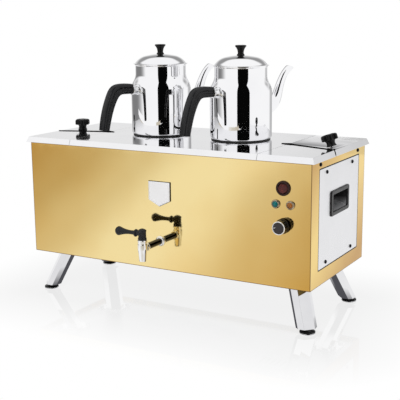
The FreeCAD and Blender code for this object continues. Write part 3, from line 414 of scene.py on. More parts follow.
@dataclass(frozen=True)
class CupPlastic(MouldedPlastic):
    """Carry handle's moulding, with painted light making the floor of its pocket pale."""

    painted_light_tone: Colour = (0.34, 0.34, 0.35)
    floor: tuple[float, float] = (0.2290, 0.2500)
    mouth: tuple[float, float] = (0.3385, 0.3400)

    def paint(self, graph: Graph) -> None:
        """Build the nodes: plain moulding, painted paler towards the pocket's floor as painted light."""
        super().paint(graph)
        # painted light: the pocket's sloping floor is painted paler, as if lit
        low = graph.span(graph.axis("Z"), 1.0, 0.0, *self.floor)
        inside = graph.span(graph.combine("ABSOLUTE", graph.axis("X")), 1.0, 0.0, *self.mouth)
        share = graph.combine("MULTIPLY", low, inside)
        graph.set(Base_Color=graph.blend(share, self.worn, self.painted_light_tone))


MIRROR_STEEL = PolishedMetal("mirror_steel", (0.90, 0.90, 0.91), (0.86, 0.86, 0.88), haze=0.06, wave=0.0003,
                             wave_scale=7.0)
POT_STEEL = PolishedMetal("pot_steel", (0.93, 0.93, 0.94), (0.89, 0.89, 0.91), roughness=0.02)
GILT_STEEL = GiltSheet("gilt_steel")
# the sides carry painted reflection along their own band, and painted shade only at the bottom and top
# edges, none at the ends
GILT_SIDES = GiltSheet("gilt_sides", (0.87, 0.63, 0.21), (0.53, 0.29, 0.06), band=(0.0, -0.52, 0.854),
                       band_at=0.198, fade=(0.02, 0.17), end_shade=0.0)
PANEL_STEEL = SatinMetal("panel_steel", (0.84, 0.84, 0.85), (0.78, 0.78, 0.80), roughness=0.30,
                         grain=(1.0, 1.0, 0.03), relief=0.0000005)
INNER_STEEL = SatinMetal("inner_steel")
CHROME = PolishedMetal("chrome", (0.90, 0.90, 0.91), (0.86, 0.87, 0.88), roughness=0.02)
LEG_CHROME = PolishedMetal("leg_chrome", (0.80, 0.80, 0.81), (0.70, 0.70, 0.72), roughness=0.03, haze=0.04,
                           wave=0.0008, wave_scale=22.0)
BADGE_METAL = SatinMetal("badge_metal", (0.97, 0.97, 0.99), (0.93, 0.93, 0.96), relief=0.000003)
BLACK_PLASTIC = MouldedPlastic("black_plastic", grey(0.003), grey(0.006), roughness=0.22, gloss=0.16,
                               skin=0.00002)
TAP_PLASTIC = MouldedPlastic("tap_plastic", (0.008, 0.009, 0.010), (0.015, 0.016, 0.018), gloss=0.24,
                             skin=0.00001)
# painted reflection: the tap's chrome pipe is darkened all over to show the dark reflections it picks up
PAINTED_DARK_CHROME = PolishedMetal("painted_dark_chrome", (0.05, 0.05, 0.055), (0.03, 0.03, 0.035), roughness=0.04)
GRIP_PLASTIC = MouldedPlastic("grip_plastic", (0.008, 0.008, 0.009), (0.014, 0.014, 0.015), gloss=0.22,
                              skin=0.00001)
CUP_PLASTIC = CupPlastic("cup_plastic", grey(0.007), (0.013, 0.013, 0.014), roughness=0.30)
FOOT_RUBBER = MouldedPlastic("foot_rubber", grey(0.004), grey(0.008), roughness=0.12, skin=0.00002)
DIAL_FACE = SatinMetal("dial_face", (0.085, 0.078, 0.082), (0.060, 0.055, 0.060), roughness=0.42,
                       grain=(1.0, 1.0, 1.0))
BLACK_SCREW = PolishedMetal("black_screw", (0.020, 0.020, 0.024), (0.012, 0.012, 0.015), roughness=0.25,
                            haze=0.1)
WHITE_MARK = MouldedPlastic("white_mark", grey(0.80), grey(0.70), roughness=0.4)
SWITCH_PLASTIC = MouldedPlastic("switch_plastic", (0.018, 0.008, 0.007), (0.030, 0.014, 0.012), gloss=0.2)
RED_ROCKER = ClearPlastic("red_rocker", (0.075, 0.009, 0.007), (0.035, 0.005, 0.004))
MARK_RED = ClearPlastic("mark_red", (0.26, 0.04, 0.03), (0.16, 0.02, 0.02))
GREEN_LENS = ClearPlastic("green_lens", (0.0, 0.15, 0.15), (0.0, 0.08, 0.08), clear=0.1, coat=0.15,
                          glow=0.05)
AMBER_LENS = ClearPlastic("amber_lens", (0.32, 0.11, 0.015), (0.20, 0.06, 0.01), clear=0.1, coat=0.15,
                          glow=0.05)
LAMP_NICKEL = PolishedMetal("lamp_nickel", (0.46, 0.40, 0.30), (0.36, 0.30, 0.22), roughness=0.08,
                            haze=0.05)
BRASS = PolishedMetal("brass", (0.72, 0.53, 0.25), (0.55, 0.38, 0.17), roughness=0.22, haze=0.2)
# matte black without gloss, so the lid gap strips also read as painted shade
GAP_SHADE_RUBBER = MouldedPlastic("gap_shade_rubber", grey(0.003), grey(0.008), roughness=0.85, gloss=0.0,
                             skin_scale=900.0)
SILICONE = MouldedPlastic("silicone", grey(0.012), grey(0.022), roughness=0.5, skin_scale=900.0)
SHEATH = SatinMetal("sheath", (0.36, 0.36, 0.37), (0.22, 0.21, 0.20), roughness=0.45, grain=(0.2, 1.0, 1.0))
TERMINAL = MouldedPlastic("terminal", (0.74, 0.71, 0.62), (0.66, 0.62, 0.52), roughness=0.4)

CAD_FINISHES: dict[Finish, tuple[str, ...]] = {
    GILT_STEEL: ("front_panel", "back_panel"),
    GILT_SIDES: ("left_panel", "right_panel"),
    MIRROR_STEEL: ("top_plate", *both("corner_plate", "fill_lid")),
    PANEL_STEEL: both("service_panel"),
    INNER_STEEL: ("base_tray", "tank", "thermostat_body", "limit_thermostat", "leg_bolts"),
    CHROME: ("green_lamp_bezel", "amber_lamp_bezel", "tap_collar", "tap_body"),
    PAINTED_DARK_CHROME: ("tap_shank",),
    LEG_CHROME: tuple("leg_" + leg for leg in LEGS),
    BADGE_METAL: ("badge_plate",),
    BLACK_PLASTIC: ("cable_gland", "switch_housing", "tap_lever", "thermostat_knob",
                    *both("star_knob", "pot_lid_knob")),
    GRIP_PLASTIC: both("pot_grip"),
    POT_STEEL: both("pot_body", "pot_lid"),
    CUP_PLASTIC: both("carry_handle"),
    FOOT_RUBBER: tuple("foot_" + leg for leg in LEGS),
    BLACK_SCREW: ("side_screws",),
    RED_ROCKER: ("switch_rocker",),
    GREEN_LENS: ("green_lamp_lens",),
    AMBER_LENS: ("amber_lamp_lens",),
    BRASS: ("lid_nuts", "heater_plug", "thermostat_probe", "tap_lock_nut", "tap_spindle"),
    SILICONE: ("pot_seals", "heater_gasket"),
    SHEATH: ("heating_elements",),
    TERMINAL: ("terminal_block",),
}


def middle_of(node: str) -> Vector:
    """Middle of a CAD node's box, in millimetres."""
    low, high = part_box(node)
    return (low + high) / (2 * MM)


def on_front(at: Vector) -> Vector:
    """Point of the front sheet at another point's breadth and height, in millimetres."""
    return Vector((at.x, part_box("front_panel")[0].y / MM, at.z))


def rounded(form: Form, geom: list, width: float, segments: int, kind: str = "EDGES") -> None:
    """Round some of a mesh's corners or edges."""
    bmesh.ops.bevel(form, geom=geom, offset=width, offset_type="OFFSET", segments=segments, profile=0.5,
                    affect=kind, clamp_overlap=kind == "EDGES", material=-1)


def turned(steps: Steps, segments: int = 96, closed: bool = False) -> Form:
    """Lathe work about the Z axis.

    Args:
        steps: Radius and height of each corner, in millimetres; a third number rounds that corner.
        segments: Facets round the axis.
        closed: Join the last corner to the first, for a ring.

    Returns:
        A closed mesh with its faces outwards.
    """
    form = bmesh.new()
    corners = [form.verts.new((step[0], 0, step[1])) for step in steps]
    for first, second in zip(corners, corners[1:]):
        form.edges.new((first, second))
    if closed:
        form.edges.new((corners[-1], corners[0]))
    for corner, step in zip(corners, steps):
        if len(step) > 2:
            rounded(form, [corner], step[2], 5, "VERTICES")
    bmesh.ops.spin(form, geom=form.verts[:] + form.edges[:], cent=(0, 0, 0), axis=Z_AXIS, angle=TURN,
                   steps=segments, use_merge=True)
    tidy(form)
    return form


def tidy(form: Form) -> None:
    """Merge doubles, then turn every face outwards."""
    bmesh.ops.remove_doubles(form, verts=form.verts, dist=WELD)
    bmesh.ops.recalc_face_normals(form, faces=form.faces)


def arc_steps(start: tuple[float, float], end: tuple[float, float], bulge: float,
              count: int = 8) -> list[tuple]:
    """Corners of a curve between two profile points.

    Args:
        start: Radius and height where the curve starts.
        end: Radius and height where it ends.
        bulge: How far the curve's middle stands off the straight line, to its left.
        count: Corners between the ends.

    Returns:
        The corners after start, up to and with end.
    """
    a, b = Vector(start), Vector(end)
    along = b - a
    across = Vector((-along.y, along.x)).normalized()
    points = []
    for i in range(1, count + 1):
        share = i / count
        point = a + along * share + across * (bulge * 4 * share * (1 - share))
        points.append((point.x, point.y))
    return points


def swept(stations: Sequence[Matrix], sides: int = 24, caps: bool = True,
          shape: Callable[[Vector], Vector] | None = None) -> Form:
    """Skin through a row of ring placements.

    Args:
        stations: Placement of the unit ring at each station.
        sides: Points round the ring.
        caps: Close both ends.
        shape: Moves a point of the unit circle to the section's outline.

    Returns:
        The skinned mesh.
    """
    form = bmesh.new()
    bmesh.ops.create_circle(form, segments=sides, radius=1.0)
    if shape:
        for corner in form.verts:
            corner.co = shape(corner.co)
    bmesh.ops.transform(form, matrix=stations[0], verts=form.verts)
    first = ring = form.edges[:]
    for before, after in zip(stations, stations[1:]):
        grown = bmesh.ops.extrude_edge_only(form, edges=ring)["geom"]
        ring = [e for e in grown if isinstance(e, bmesh.types.BMEdge)]
        corners = [v for v in grown if isinstance(v, bmesh.types.BMVert)]
        bmesh.ops.transform(form, matrix=after @ before.inverted(), verts=corners)
    if caps:
        for end in (first, ring):
            bmesh.ops.contextual_create(form, geom=end)
    tidy(form)
    return form


def stations(path: Steps, halves: Steps, tilts: Sequence[float]) -> list[Matrix]:
    """Placements of a unit ring along a path in the XZ plane.

    Args:
        path: X and Z of each ring's middle.
        halves: Each ring's half width along Y, and its half width square to that.
        tilts: How many degrees the path climbs at each ring.

    Returns:
        One placement for each ring.
    """
    rings = []
    for (x, z), (wide, thick), tilt in zip(path, halves, tilts):
        climb = math.radians(tilt)
        along = Vector((math.cos(climb), 0, math.sin(climb))).normalized()
        turn = Matrix((Y_AXIS, along.cross(Y_AXIS).normalized(), along)).transposed().to_4x4()
        rings.append(Matrix.Translation((x, 0, z)) @ turn @ Matrix.Diagonal((wide, thick, 1.0, 1.0)))
    return rings


def placement(at: Vector, axis: Vector = Z_AXIS, spin: float = 0.0) -> Matrix:
    """Turn of a mesh's own Z to an axis, and shift of its origin to a point in millimetres."""
    turn = Z_AXIS.rotation_difference(axis).to_matrix().to_4x4()
    return Matrix.Translation(at) @ turn @ Matrix.Rotation(spin, 4, "Z")


def placed(form: Form, at: Vector, axis: Vector = Z_AXIS) -> Form:
    """Put a mesh in place."""
    bmesh.ops.transform(form, matrix=placement(at, axis), verts=form.verts)
    return form


def joined(forms: Sequence[Form]) -> Form:
    """Put several meshes into the first one and free the rest."""
    whole = forms[0]
    for part in forms[1:]:
        spare = bpy.data.meshes.new("spare")
        part.to_mesh(spare)
        whole.from_mesh(spare)
        bpy.data.meshes.remove(spare)
        part.free()
    return whole


def softened(form: Form, width: float) -> Form:
    """Round every edge sharper than 30 degrees."""
    limit = math.radians(30.0)
    edges = [e for e in form.edges if len(e.link_faces) == 2 and e.calc_face_angle() > limit]
    rounded(form, edges, width, 2)
    return form


def linked(name: str, form: Form, material: bpy.types.Material) -> bpy.types.Object:
    """Object of a mesh in metres, which is freed."""
    data = bpy.data.meshes.new(name)
    form.to_mesh(data)
    form.free()
    data.materials.append(material)
    made = bpy.data.objects.new(name, data)
    bpy.context.scene.collection.objects.link(made)
    return made


@dataclass(frozen=True)
class Maker:
    """Turns meshes into dressed pieces that ride on one body.

    Attributes:
        body: The body's name.
        place: Where the meshes go, if they are not in place yet.
        suffix: End of the names of the pieces and of the nodes that they replace.
    """

    body: str
    place: Matrix | None = None
    suffix: str = ""

    def piece(self, name: str, form: Form, finish: Finish, slot: Slot, replaces: str = "",
              crease: float = 32.0, wall: float = 0.0, smooth: int = 0) -> None:
        """Make one piece of the urn.

        Args:
            name: The piece's name.
            form: Its mesh in millimetres; it is freed.
            finish: What it wears.
            slot: The record's slot of that finish; it is not used.
            replaces: CAD node that it stands for, if any.
            crease: Edges sharper than this many degrees stay crisp.
            wall: Thickness of a skin's wall, for a mesh that is an open skin.
            smooth: Subdivision levels.
        """
        if self.place:
            bmesh.ops.transform(form, matrix=self.place, verts=form.verts)
        bmesh.ops.scale(form, vec=(MM, MM, MM), verts=form.verts)
        made = linked(name + self.suffix, form, finish.material())
        made.data.shade_smooth()
        made.data.set_sharp_from_angle(angle=math.radians(crease))
        if wall:
            thick = made.modifiers.new("wall", "SOLIDIFY")
            thick.thickness = wall * MM
            thick.offset = -1
        if smooth:
            skin = made.modifiers.new("skin", "SUBSURF")
            skin.levels = skin.render_levels = smooth
        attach(made, self.body)
        if replaces:
            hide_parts(replaces + self.suffix)
        LOG.info("%s: %d faces", made.name, len(made.data.polygons))


def pivot(joint: str) -> tuple[Vector, Vector]:
    """Place of a joint, in millimetres, and the direction of its axis."""
    found = next(one for one in frame["joints"] if one["name"] == joint)
    return Vector(found["pos_m"]) / MM, Vector(found["axis"])


def slab(corners: Sequence[tuple[float, float]], low: float, high: float) -> Form:
    """Straight plate over an outline.

    Args:
        corners: The outline's corners in order, in X and Y.
        low: Height of its underside.
        high: Height of its upper side.

    Returns:
        The plate's mesh.
    """
    form = bmesh.new()
    outline = [form.verts.new((x, y, low)) for x, y in corners]
    base = form.faces.new(outline)
    grown = bmesh.ops.extrude_face_region(form, geom=[base])["geom"]
    top = [v for v in grown if isinstance(v, bmesh.types.BMVert)]
    bmesh.ops.translate(form, vec=(0, 0, high - low), verts=top)
    bmesh.ops.recalc_face_normals(form, faces=form.faces)
    return form


def rectangle(left: float, bottom: float, right: float, top: float) -> Steps:
    """Corners of an upright rectangle."""
    return ((left, bottom), (right, bottom), (right, top), (left, top))


def hexagon(across: float, low: float, high: float, chamfer: float = 0.5) -> Form:
    """Hexagonal nut body, measured across its flats, with eased edges."""
    far = across / math.sqrt(3)
    corners = [(far * math.cos(TURN * i / 6), far * math.sin(TURN * i / 6)) for i in range(6)]
    return softened(slab(corners, low, high), chamfer)


def ridged(radius: float, low: float, high: float, pitch: float = 1.25, depth: float = 0.6) -> list[tuple]:
    """Profile corners of a screw thread's ridges, upwards."""
    count = int((high - low) / pitch)
    step = (high - low) / count
    corners: list[tuple] = []
    for i in range(count):
        start = low + i * step
        corners += [(radius - depth, start + step * 0.1), (radius, start + step * 0.5)]
    return corners + [(radius - depth, high)]


def lobed(form: Form, lobes: int, depth: float, low: float, high: float, inner: float,
          power: float = 1.0) -> None:
    """Draw flutes into a turned mesh.

    Args:
        form: The mesh, turned about Z.
        lobes: Number of flutes.
        depth: How deep each flute is.
        low: Height where the flutes start.
        high: Height where they end.
        inner: Only points further out than this move.
        power: Above 1 makes the flutes narrower than the lobes between them.
    """
    for corner in form.verts:
        x, y, z = corner.co
        out = math.hypot(x, y)
        if low <= z <= high and out > inner:
            share = (1 - math.cos(math.atan2(y, x) * lobes)) / 2
            corner.co.xy *= (out - depth * share ** power) / out


@dataclass
class Casing:
    """The sheet parts, legs and inner works that keep their CAD form: dressed, with folded edges eased."""

    weld: float = 0.001
    flat_angle: float = 0.3
    fold_angle: float = 38.0
    gap: Steps = ((227.0, 143.0), (337.0, 107.0))
    strip: tuple[float, float] = (355.0, 356.2)
    strip_top: float = 359.3
    foot: Steps = ((243.0, -4.8), (337.0, -3.6), (337.0, 3.6), (243.0, 4.8))
    bead: Steps = ((241.5, -2.5), (336.5, -1.2), (336.5, 1.2), (241.5, 2.5))
    ring_wall: float = 1.3
    finger: Steps = ((-15.6, -0.9), (-0.8, -7.0), (14.1, -7.3), (14.1, -2.6), (2.6, 6.3))
    tail: Steps = ((114.5, 359.2), (122.4, 359.2), (126.1, 349.8), (124.9, 347.0), (120.2, 356.3),
                   (114.5, 356.3))
    tail_half: float = 1.1
    trim_wide: float = 2.2
    trim_lap: float = 0.3
    trim_sink: float = 1.0
    trim_proud: float = 0.1
    folds: tuple[tuple[float, tuple[str, ...]], ...] = (
        (0.8, ("front_panel", "back_panel", "left_panel", "right_panel")),
        (0.5, ("top_plate", *both("corner_plate", "fill_lid"))),
        (0.4, ("base_tray", *both("service_panel"))),
        (1.3, tuple("leg_" + leg for leg in LEGS)),
    )

    def dress(self) -> None:
        """Give every CAD node its finish."""
        for finish, nodes in CAD_FINISHES.items():
            for name in nodes:
                data = frame["nodes"][name].data
                data.materials.clear()
                data.materials.append(finish.material())
            LOG.info("%s on %d nodes", finish.name, len(nodes))

    def ease(self, node: str, width: float) -> None:
        """Round a node's folds with modifiers, its mesh left as it is."""
        thing = frame["nodes"][node]
        weld = thing.modifiers.new("weld", "WELD")
        weld.merge_threshold = self.weld * MM
        flat = thing.modifiers.new("flat", "DECIMATE")
        flat.decimate_type = "DISSOLVE"
        flat.angle_limit = math.radians(self.flat_angle)
        fold = thing.modifiers.new("fold", "BEVEL")
        fold.width = width * MM
        fold.segments = 3
        fold.limit_method = "ANGLE"
        fold.angle_limit = math.radians(self.fold_angle)
        fold.harden_normals = True

    def gap_shade_trim(self, side: str, way: int) -> Form:
        """Thin dark trimming in the gap round a service panel, which also stands in as painted shade in
        that gap.
        """
        low, high = (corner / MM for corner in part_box("service_panel_" + side))
        middle, half = (low + high) / 2, (high - low) / 2 + Vector((0, self.trim_wide, self.trim_wide))
        face = high.x if way > 0 else low.x
        form = slab(rectangle(-half.z, -half.y, half.z, half.y), -self.trim_sink, self.trim_proud)
        caps = [one for one in form.faces if abs(one.normal.z) > 0.5]
        for cap in caps:
            bmesh.ops.inset_region(form, faces=[cap], thickness=self.trim_wide + self.trim_lap)
        bmesh.ops.delete(form, geom=caps, context="FACES_ONLY")
        bmesh.ops.bridge_loops(form, edges=[edge for edge in form.edges if edge.is_boundary])
        softened(form, 0.15)
        return placed(form, Vector((face, middle.y, middle.z)), X_AXIS * way)

    def gap_shade_strips(self, way: int) -> list[Form]:
        """Dark rubber edging in a lid's slanted gap and round its finger hole, which stays open; the edging
        also stands in as painted shade in the gap.
        """
        (inner, inner_y), (outer, outer_y) = self.gap
        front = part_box("front_panel")[0].y / MM
        low, high = self.strip
        slope = (outer_y - inner_y) / (outer - inner)
        foot, bead = ([(way * x, front + inner_y + slope * (x - inner) + y) for x, y in outline]
                      for outline in (self.foot, self.bead))
        pad = [(way * (inner + x), front + inner_y + y) for x, y in self.finger]
        ring = slab(pad, low, self.strip_top)
        caps = [face for face in ring.faces if len(face.verts) == len(pad)]
        for cap in caps:
            bmesh.ops.inset_region(ring, faces=[cap], thickness=self.ring_wall, use_even_offset=True)
        rims = [edge for cap in caps for edge in cap.edges]
        bmesh.ops.delete(ring, geom=caps, context="FACES_ONLY")
        bmesh.ops.bridge_loops(ring, edges=rims)
        along = Vector((way, slope, 0)).normalized()
        turn = Matrix((along, Z_AXIS, along.cross(Z_AXIS))).transposed()
        tail = slab(self.tail, -self.tail_half, self.tail_half)
        start = Vector((way * inner, front + inner_y, 0))
        bmesh.ops.transform(tail, matrix=Matrix.Translation(start) @ turn.to_4x4(), verts=tail.verts)
        forms = [slab(foot, low, high), slab(bead, low, self.strip_top), ring, tail]
        return [softened(form, 0.2) for form in forms]

    def build(self) -> None:
        """Dress the nodes and ease the folds of the sheets."""
        self.dress()
        for width, nodes in self.folds:
            for node in nodes:
                self.ease(node, width)
        # the dark trims are partly real trimming and partly painted shade in the gaps round the service
        # panels
        trims = [self.gap_shade_trim(side, way) for side, way in SIDES.items()]
        Maker("casing").piece("panel_trims_gap_shade", joined(trims), SILICONE, Slot.SILICONE)
        # dark edging in the lid gaps, partly real rubber and partly painted shade
        seals = [form for way in SIDES.values() for form in self.gap_shade_strips(way)]
        Maker("casing").piece("deck_seals_gap_shade", joined(seals), GAP_SHADE_RUBBER, Slot.SILICONE)


@dataclass
class Badge:
    """Shield on the front: a dark backing plate under a satin face with an engraved border."""

    backing: float = 2.1
    face: float = 3.0
    inset: float = 0.7
    border_in: float = 2.2
    border: float = 0.5
    engraving: float = 0.25
    cut: float = 0.05
    shoulder_share: float = 0.245

    def __post_init__(self) -> None:
        """Find the plate's outline on the front sheet."""
        low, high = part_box("badge_plate")
        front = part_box("front_panel")[0].y
        self.seat = Vector(((low.x + high.x) / 2, front, low.z)) / MM
        self.half = (high.x - low.x) / (2 * MM)
        self.top = (high.z - low.z) / MM
        self.shoulder = self.top * self.shoulder_share

    def outline(self, inset: float) -> list[tuple[float, float]]:
        """Corners of the shield, drawn in by a margin."""
        half, top = self.half - inset, self.top - inset
        low = self.shoulder + inset * 0.25
        return [(-half, low), (0, inset * 1.1), (half, low), (half, top), (-half, top)]

    def build(self) -> None:
        """Make the two plates."""
        casing = Maker("casing", placement(self.seat, FORWARD))
        back = softened(slab(self.outline(0.0), 0.0, self.backing), 0.35)
        casing.piece("badge_backing", back, BLACK_PLASTIC, Slot.PLASTIC, "badge_plate")
        face = slab(self.outline(self.inset), self.backing, self.face)
        softened(face, 0.25)
        top = max(face.faces, key=lambda one: one.calc_center_median().z * 1000 + one.calc_area())
        for thick, depth in ((self.border_in, 0.0), (self.cut, -self.engraving), (self.border, 0.0),
                             (self.cut, self.engraving)):
            bmesh.ops.inset_region(face, faces=[top], thickness=thick, depth=depth, use_even_offset=True)
        casing.piece("badge_face", face, BADGE_METAL, Slot.BADGE)


@dataclass
class Tap:
    """Self-closing bar tap: chromed body on its pipe, fluted cap and flared lever."""

    bore: float = 4.5
    valve: float = 6.05
    top: float = 18.0
    nozzle: float = -27.0
    lever_z: float = 31.0
    lever: float = 65.0
    cap_top: float = 42.0
    pipe: float = 7.0
    socket: float = 9.0
    collar: float = 11.0

    def __post_init__(self) -> None:
        """Find the tap's upright axis."""
        self.axis = pivot("tap_turn")[0]
        self.wall = on_front(self.axis)

    def barrel(self) -> Form:
        """Body with its valve seat above and the tapered nozzle below."""
        low = self.nozzle
        steps = [(self.bore, low, 0.4), (7.0, low, 0.9), (7.4, low + 3.6, 1.5), (8.6, -8, 4),
                 (10, -1.5, 2.5), (10, 9, 0.7), (9.4, 10.0, 0.3), (9.4, 13.2, 0.3), (10, 14.2, 0.5),
                 (10, 17.2, 0.7), (9.2, self.top, 0.3), (self.valve, self.top, 0.3), (self.valve, 1.0),
                 (self.bore, 1.0, 0.3)]
        return turned(steps, 96, closed=True)

    def tail(self) -> Form:
        """Socket that takes the pipe, with a rolled edge."""
        inner = self.pipe + 0.05
        steps = [(inner, 9.2), (self.socket, 9.2), (self.socket, 13.4, 0.4), (self.socket - 0.6, 14.0, 0.3),
                 (self.socket, 14.6, 0.4), (self.socket, 16.0, 0.8), (inner, 16.0, 0.3)]
        return placed(turned(steps, 72, closed=True), self.axis, Y_AXIS)

    def flange(self) -> Form:
        """Stepped flange against the front sheet."""
        inner = self.pipe + 0.05
        steps = [(inner, 0), (self.collar, 0, 0.2), (self.collar, 2.6, 0.9), (9.4, 3.6, 0.5),
                 (8.5, 5.8, 0.8), (inner, 6.0, 0.3)]
        return placed(turned(steps, 96, closed=True), self.wall, FORWARD)

    def cap(self) -> Form:
        """Domed cap, fluted round its waist."""
        low, high = self.top + 0.3, self.cap_top
        steps = [(0, low), (9, low, 0.4), (9, low + 3.6, 0.6), (8.2, low + 4.9, 0.5), (8.2, low + 6.0),
                 (8.2, low + 15.4), (8.2, low + 16.6, 0.5), (8.8, low + 17.8, 0.5), (8.8, low + 19.4, 0.8),
                 *arc_steps((8.2, low + 20.3), (0, high), -0.7, 8)]
        form = turned(steps, 128)
        lobed(form, 16, 0.7, low + 5.5, low + 15.9, 7.0)
        return form

    def handle(self) -> Form:
        """Turned lever: beaded neck, slim waist and flared, domed end."""
        end = self.lever
        steps = [(0, 0), (5, 0), (5, 12, 0.4), (6.6, 12.8, 0.5), (8, 14.4, 0.9), (8, 16.4, 0.9),
                 (6.4, 18.0, 0.5), (4.8, 18.8, 0.6), *arc_steps((4.6, 20), (9.2, end - 10), 2.0, 12),
                 (9.5, end - 8.4, 0.8), (9.5, end - 6.6, 0.9),
                 *arc_steps((8.9, end - 5.6), (0, end), -1.6, 8)]
        return placed(turned(steps, 96), self.axis + Z_AXIS * self.lever_z, -X_AXIS)

    def build(self) -> None:
        """Make the tap's pieces."""
        casing, grip = Maker("casing"), Maker("tap_handle")
        casing.piece("tap_barrel", placed(self.barrel(), self.axis), CHROME, Slot.CHROME, "tap_body")
        casing.piece("tap_socket", self.tail(), CHROME, Slot.CHROME)
        casing.piece("tap_flange", self.flange(), CHROME, Slot.CHROME, "tap_collar")
        grip.piece("tap_cap", placed(self.cap(), self.axis), TAP_PLASTIC, Slot.PLASTIC)
        grip.piece("tap_handle_grip", self.handle(), TAP_PLASTIC, Slot.PLASTIC, "tap_lever")


@dataclass
class Switch:
    """Round rocker switch: dark bezel and a dished red paddle with its two marks."""

    radius: float = 15.0
    proud: float = 5.0
    well: float = 10.6
    paddle: float = 9.6
    dish: float = 1.4
    pin: float = 1.3
    body: float = 11.5
    tilt: float = -8.0
    mark: float = 4.9

    def __post_init__(self) -> None:
        """Find the switch's seat on the front sheet."""
        self.pivot = pivot("rocker_tip")[0]
        self.seat = on_front(self.pivot)

    def bezel(self) -> Form:
        """Bezel with the paddle's well, and the body behind the sheet."""
        r, high = self.radius, self.proud
        steps = [(0, -24), (self.body, -24, 0.6), (self.body, 0), (r, 0, 0.2), (r, 2.8, 1.2),
                 (r - 1.6, high, 0.8), (self.well + 1.1, high, 0.4), (self.well, high - 1.1, 0.4),
                 (self.well, -8), (0, -8)]
        return placed(turned(steps, 96), self.seat, FORWARD)

    def spades(self) -> Form:
        """Two flat terminals behind the body."""
        forms = []
        for x in (-5, 5):
            corners = [(-3.1, 0), (3.1, 0), (3.1, 7.4), (1.7, 9), (-1.7, 9), (-3.1, 7.4)]
            blade = softened(slab(corners, -0.4, 0.4), 0.15)
            forms.append(placed(blade, self.seat + Vector((x, 23.5, 0))))
        return joined(forms)

    def rocked(self, form: Form) -> Form:
        """Tip a mesh on the front about the pivot, to the paddle's rest."""
        placed(form, self.seat, FORWARD)
        turn = Matrix.Rotation(math.radians(self.tilt), 3, "X")
        bmesh.ops.rotate(form, cent=self.pivot, matrix=turn, verts=form.verts)
        return form

    def dished(self, y: float) -> float:
        """Height of the paddle's face at a distance from its middle line."""
        return self.proud - 0.4 - self.dish * (1 - (y / self.paddle) ** 2)

    def build(self) -> None:
        """Make the switch's pieces."""
        casing, rocker = Maker("casing"), Maker("rocker")
        casing.piece("switch_bezel", self.bezel(), SWITCH_PLASTIC, Slot.PLASTIC, "switch_housing")
        casing.piece("switch_spades", self.spades(), BRASS, Slot.BRASS)
        face = self.proud - 0.4
        rings = [(self.paddle - 0.5 - i, face) for i in range(9)]
        paddle = turned([(0, -1), (self.paddle, -1, 0.3), (self.paddle, face - 0.5), *rings, (0, face)], 72)
        for corner in paddle.verts:
            if corner.co.z > 1:
                corner.co.z += self.dished(corner.co.y) - face
        pins = turned([(0, -12.7), (self.pin, -12.7, 0.2), (self.pin, 12.7, 0.2), (0, 12.7)], 24)
        placed(pins, Vector((0, 0, self.seat.y - self.pivot.y)), X_AXIS)
        rocker.piece("rocker_paddle", self.rocked(joined([paddle, pins])), RED_ROCKER, Slot.ROCKER,
                     "switch_rocker")
        bar = softened(slab(rectangle(-0.35, self.mark - 1.5, 0.35, self.mark + 1.5), -0.3, 0.12), 0.08)
        bmesh.ops.translate(bar, vec=(0, 0, self.dished(self.mark)), verts=bar.verts)
        ring = turned([(1.1, -0.3), (1.7, -0.3), (1.7, 0.12, 0.08), (1.1, 0.12, 0.08)], 40, closed=True)
        bmesh.ops.translate(ring, vec=(0, -self.mark, self.dished(self.mark)), verts=ring.verts)
        rocker.piece("rocker_marks", self.rocked(joined([bar, ring])), MARK_RED, Slot.ROCKER)


@dataclass
class Lamp:
    """Pilot lamp: chromed stepped bezel, threaded body with its nut, and a ribbed domed lens."""

    colour: str
    finish: Finish
    slot: Slot
    radius: float = 9.0
    lens: float = 5.7
    ribs: int = 24

    def __post_init__(self) -> None:
        """Find the lamp's seat on the front sheet."""
        self.seat = on_front(middle_of(self.colour + "_lamp_lens"))

    def build(self) -> None:
        """Make the lamp's pieces."""
        casing = Maker("casing", placement(self.seat, FORWARD))
        r = self.radius
        body = turned([(0, -22), (4.2, -22, 0.4), *ridged(5, -21.5, -4), (5, -3.4), (5, 0), (r, 0, 0.2),
                       (r, 2.6, 0.7), (7.9, 3.4, 0.3), (7.6, 4.5, 0.4), (6.2, 4.6, 0.3), (5.8, 1.5),
                       (0, 1.5)], 72)
        whole = joined([body, hexagon(14.0, -5.5, -1.6)])
        casing.piece(self.colour + "_lamp_ring", whole, LAMP_NICKEL, Slot.CHROME,
                     self.colour + "_lamp_bezel")
        dome = turned([(0, 1.5), (self.lens, 1.5), (self.lens, 4.8, 0.4),
                       *arc_steps((5.2, 5.3), (0, 7.2), -0.5, 9)], 72)
        lobed(dome, self.ribs, 0.12, 4.9, 7.0, 1.0)
        casing.piece(self.colour + "_lamp_dome", dome, self.finish, self.slot, self.colour + "_lamp_lens")


